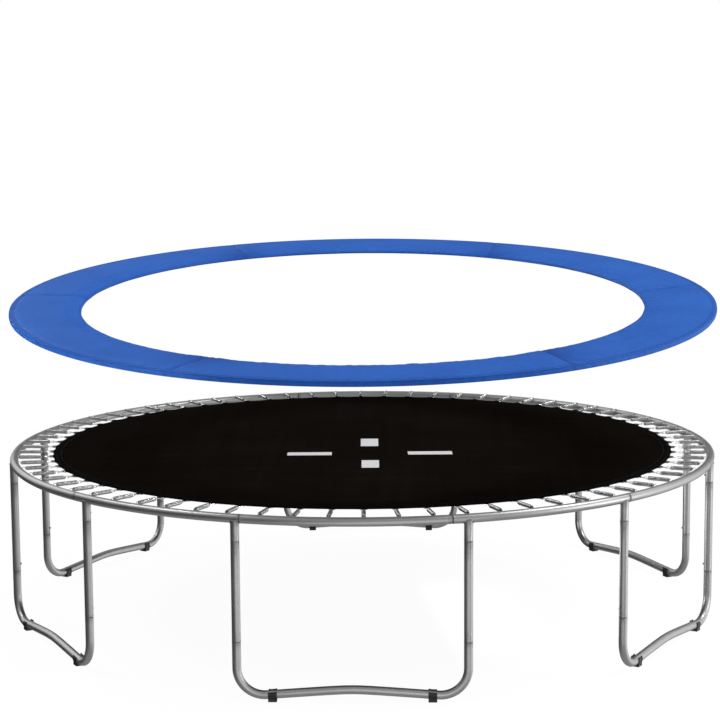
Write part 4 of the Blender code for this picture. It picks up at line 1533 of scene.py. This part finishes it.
def w_range(socket, lo, hi, a, b):
    x = wn.nodes.new("ShaderNodeMapRange")
    x.interpolation_type = "SMOOTHSTEP"
    for key, v in (("From Min", lo), ("From Max", hi), ("To Min", a), ("To Max", b)):
        x.inputs[key].default_value = v
    wn.links.new(socket, x.inputs["Value"])
    return x.outputs["Result"]


def w_math(op, a, b):
    x = wn.nodes.new("ShaderNodeMath")
    x.operation = op
    for i, v in enumerate((a, b)):
        if isinstance(v, (int, float)):
            x.inputs[i].default_value = v
        else:
            wn.links.new(v, x.inputs[i])
    return x.outputs[0]


def w_glow(direction, lo, hi, amount):
    """A soft bright patch of the room round one direction."""
    d = Vector(direction).normalized()
    x = wn.nodes.new("ShaderNodeVectorMath")
    x.operation = "DOT_PRODUCT"
    x.inputs[1].default_value = d
    wn.links.new(w_coord.outputs["Generated"], x.inputs[0])
    return w_range(x.outputs["Value"], lo, hi, 0.0, amount)


left_part = w_range(w_sep.outputs["X"], -0.75, 0.15, LEFT, FRONT)
right_part = w_range(w_sep.outputs["X"], 0.10, 0.90, 0.0, RIGHT - FRONT)
back = w_range(w_sep.outputs["Y"], 0.05, 0.75, 1.0, BACK)
level = w_math("MULTIPLY", w_math("ADD", left_part, right_part), back)
up_w = w_range(w_sep.outputs["Z"], 0.2, 0.85, 0.0, 1.0)
dn_w = w_range(w_sep.outputs["Z"], -0.85, -0.25, 1.0, 0.0)
level = w_math("ADD", w_math("MULTIPLY", level, w_math("SUBTRACT", 1.0, up_w)), w_math("MULTIPLY", up_w, OVERHEAD))
level = w_math("ADD", w_math("MULTIPLY", level, w_math("SUBTRACT", 1.0, dn_w)), w_math("MULTIPLY", dn_w, BELOW))
level = w_math("ADD", level, w_glow((0.86, 0.46, -0.05), 0.72, 0.97, 1.0))
level = w_math("ADD", level, w_glow((-0.60, 0.66, 0.42), 0.86, 0.98, 1.4))
wn.links.new(level, w_lit.inputs["Strength"])
wn.links.new(w_path.outputs["Is Camera Ray"], w_mix.inputs["Fac"])
wn.links.new(w_lit.outputs[0], w_mix.inputs[1])
wn.links.new(w_seen.outputs[0], w_mix.inputs[2])
wn.links.new(w_mix.outputs[0], w_out.inputs["Surface"])


def area_light(name, at, to, size, size_y, power, spread=180.0):
    d = bpy.data.lights.new(name, "AREA")
    d.shape = "RECTANGLE"
    d.size, d.size_y, d.energy = size, size_y, power
    d.spread = math.radians(spread)
    o = bpy.data.objects.new(name, d)
    o.location = at
    direction = Vector(to) - Vector(at)
    o.rotation_euler = direction.to_track_quat("-Z", "Y").to_euler()
    o.visible_camera = False
    bpy.context.scene.collection.objects.link(o)
    return o


area_light("key_right", (5.3, -2.3, 1.1), (0.9, -0.2, 0.8), 2.0, 2.6, 70)
area_light("top_right", (7.2, 0.6, 10.8), (0.4, 0, 0.8), 3.0, 2.4, 600)
area_light("top_left", (-7.2, 0.6, 10.8), (-0.4, 0, 0.8), 2.8, 2.0, 350)
area_light("fill_left", (-6.0, -2.4, 4.4), (0, 0, 1.3), 2.2, 1.6, 12)
area_light("front_panel", (0.95, -4.6, 0.8), (0.95, 0.0, 0.8), 2.6, 1.5, 9.0)
area_light("low_panel", (0.45, -3.2, 0.0), (0.45, 0.0, 0.0), 2.4, 1.1, 6.5)
area_light("bay_panel", (0.35, -0.3, 0.36), (1.75, -0.1, 0.36), 1.3, 0.5, 7.5)
area_light("pad_edge_left", (-3.6, -2.1, 1.36), (-1.45, -0.95, 1.585), 2.4, 0.25, 4.5, 28.0)

# camera: low and central, from just right of straight ahead
CAM_D = 5.893 * 1.809
CAM_E, CAM_PITCH, CAM_YAW, CAM_ROLL = (math.radians(x) for x in (10.3953, 2.4801, -0.0447, -0.3914))
CAM_TURN = math.radians(1.6422)
pos = Vector((0.0, -CAM_D * math.cos(CAM_E), 0.4614 * 1.809 + CAM_D * math.sin(CAM_E)))
down = -(CAM_E - CAM_PITCH)
fwd = Vector((math.sin(CAM_YAW) * math.cos(down), math.cos(CAM_YAW) * math.cos(down), math.sin(down)))
right = fwd.cross(Vector((0, 0, 1))).normalized()
up = right.cross(fwd)
r2 = right * math.cos(CAM_ROLL) + up * math.sin(CAM_ROLL)
u2 = -right * math.sin(CAM_ROLL) + up * math.cos(CAM_ROLL)
turn = Matrix.Rotation(CAM_TURN, 3, "Z")
pos, fwd, r2, u2 = turn @ pos, turn @ fwd, turn @ r2, turn @ u2
cam_data = bpy.data.cameras.new("camera")
cam_data.sensor_width = 36.0
cam_data.lens = 2020.39 * 36.0 / 720.0
cam_data.clip_end = 300.0
cam = bpy.data.objects.new("camera", cam_data)
cam.matrix_world = Matrix(((r2.x, u2.x, -fwd.x, pos.x), (r2.y, u2.y, -fwd.y, pos.y), (r2.z, u2.z, -fwd.z, pos.z), (0, 0, 0, 1)))
bpy.context.scene.collection.objects.link(cam)
bpy.context.scene.camera = cam

view = bpy.context.scene.view_settings
view.view_transform = "Standard"
view.look = "None"
view.exposure = 0.0
view.gamma = 1.0
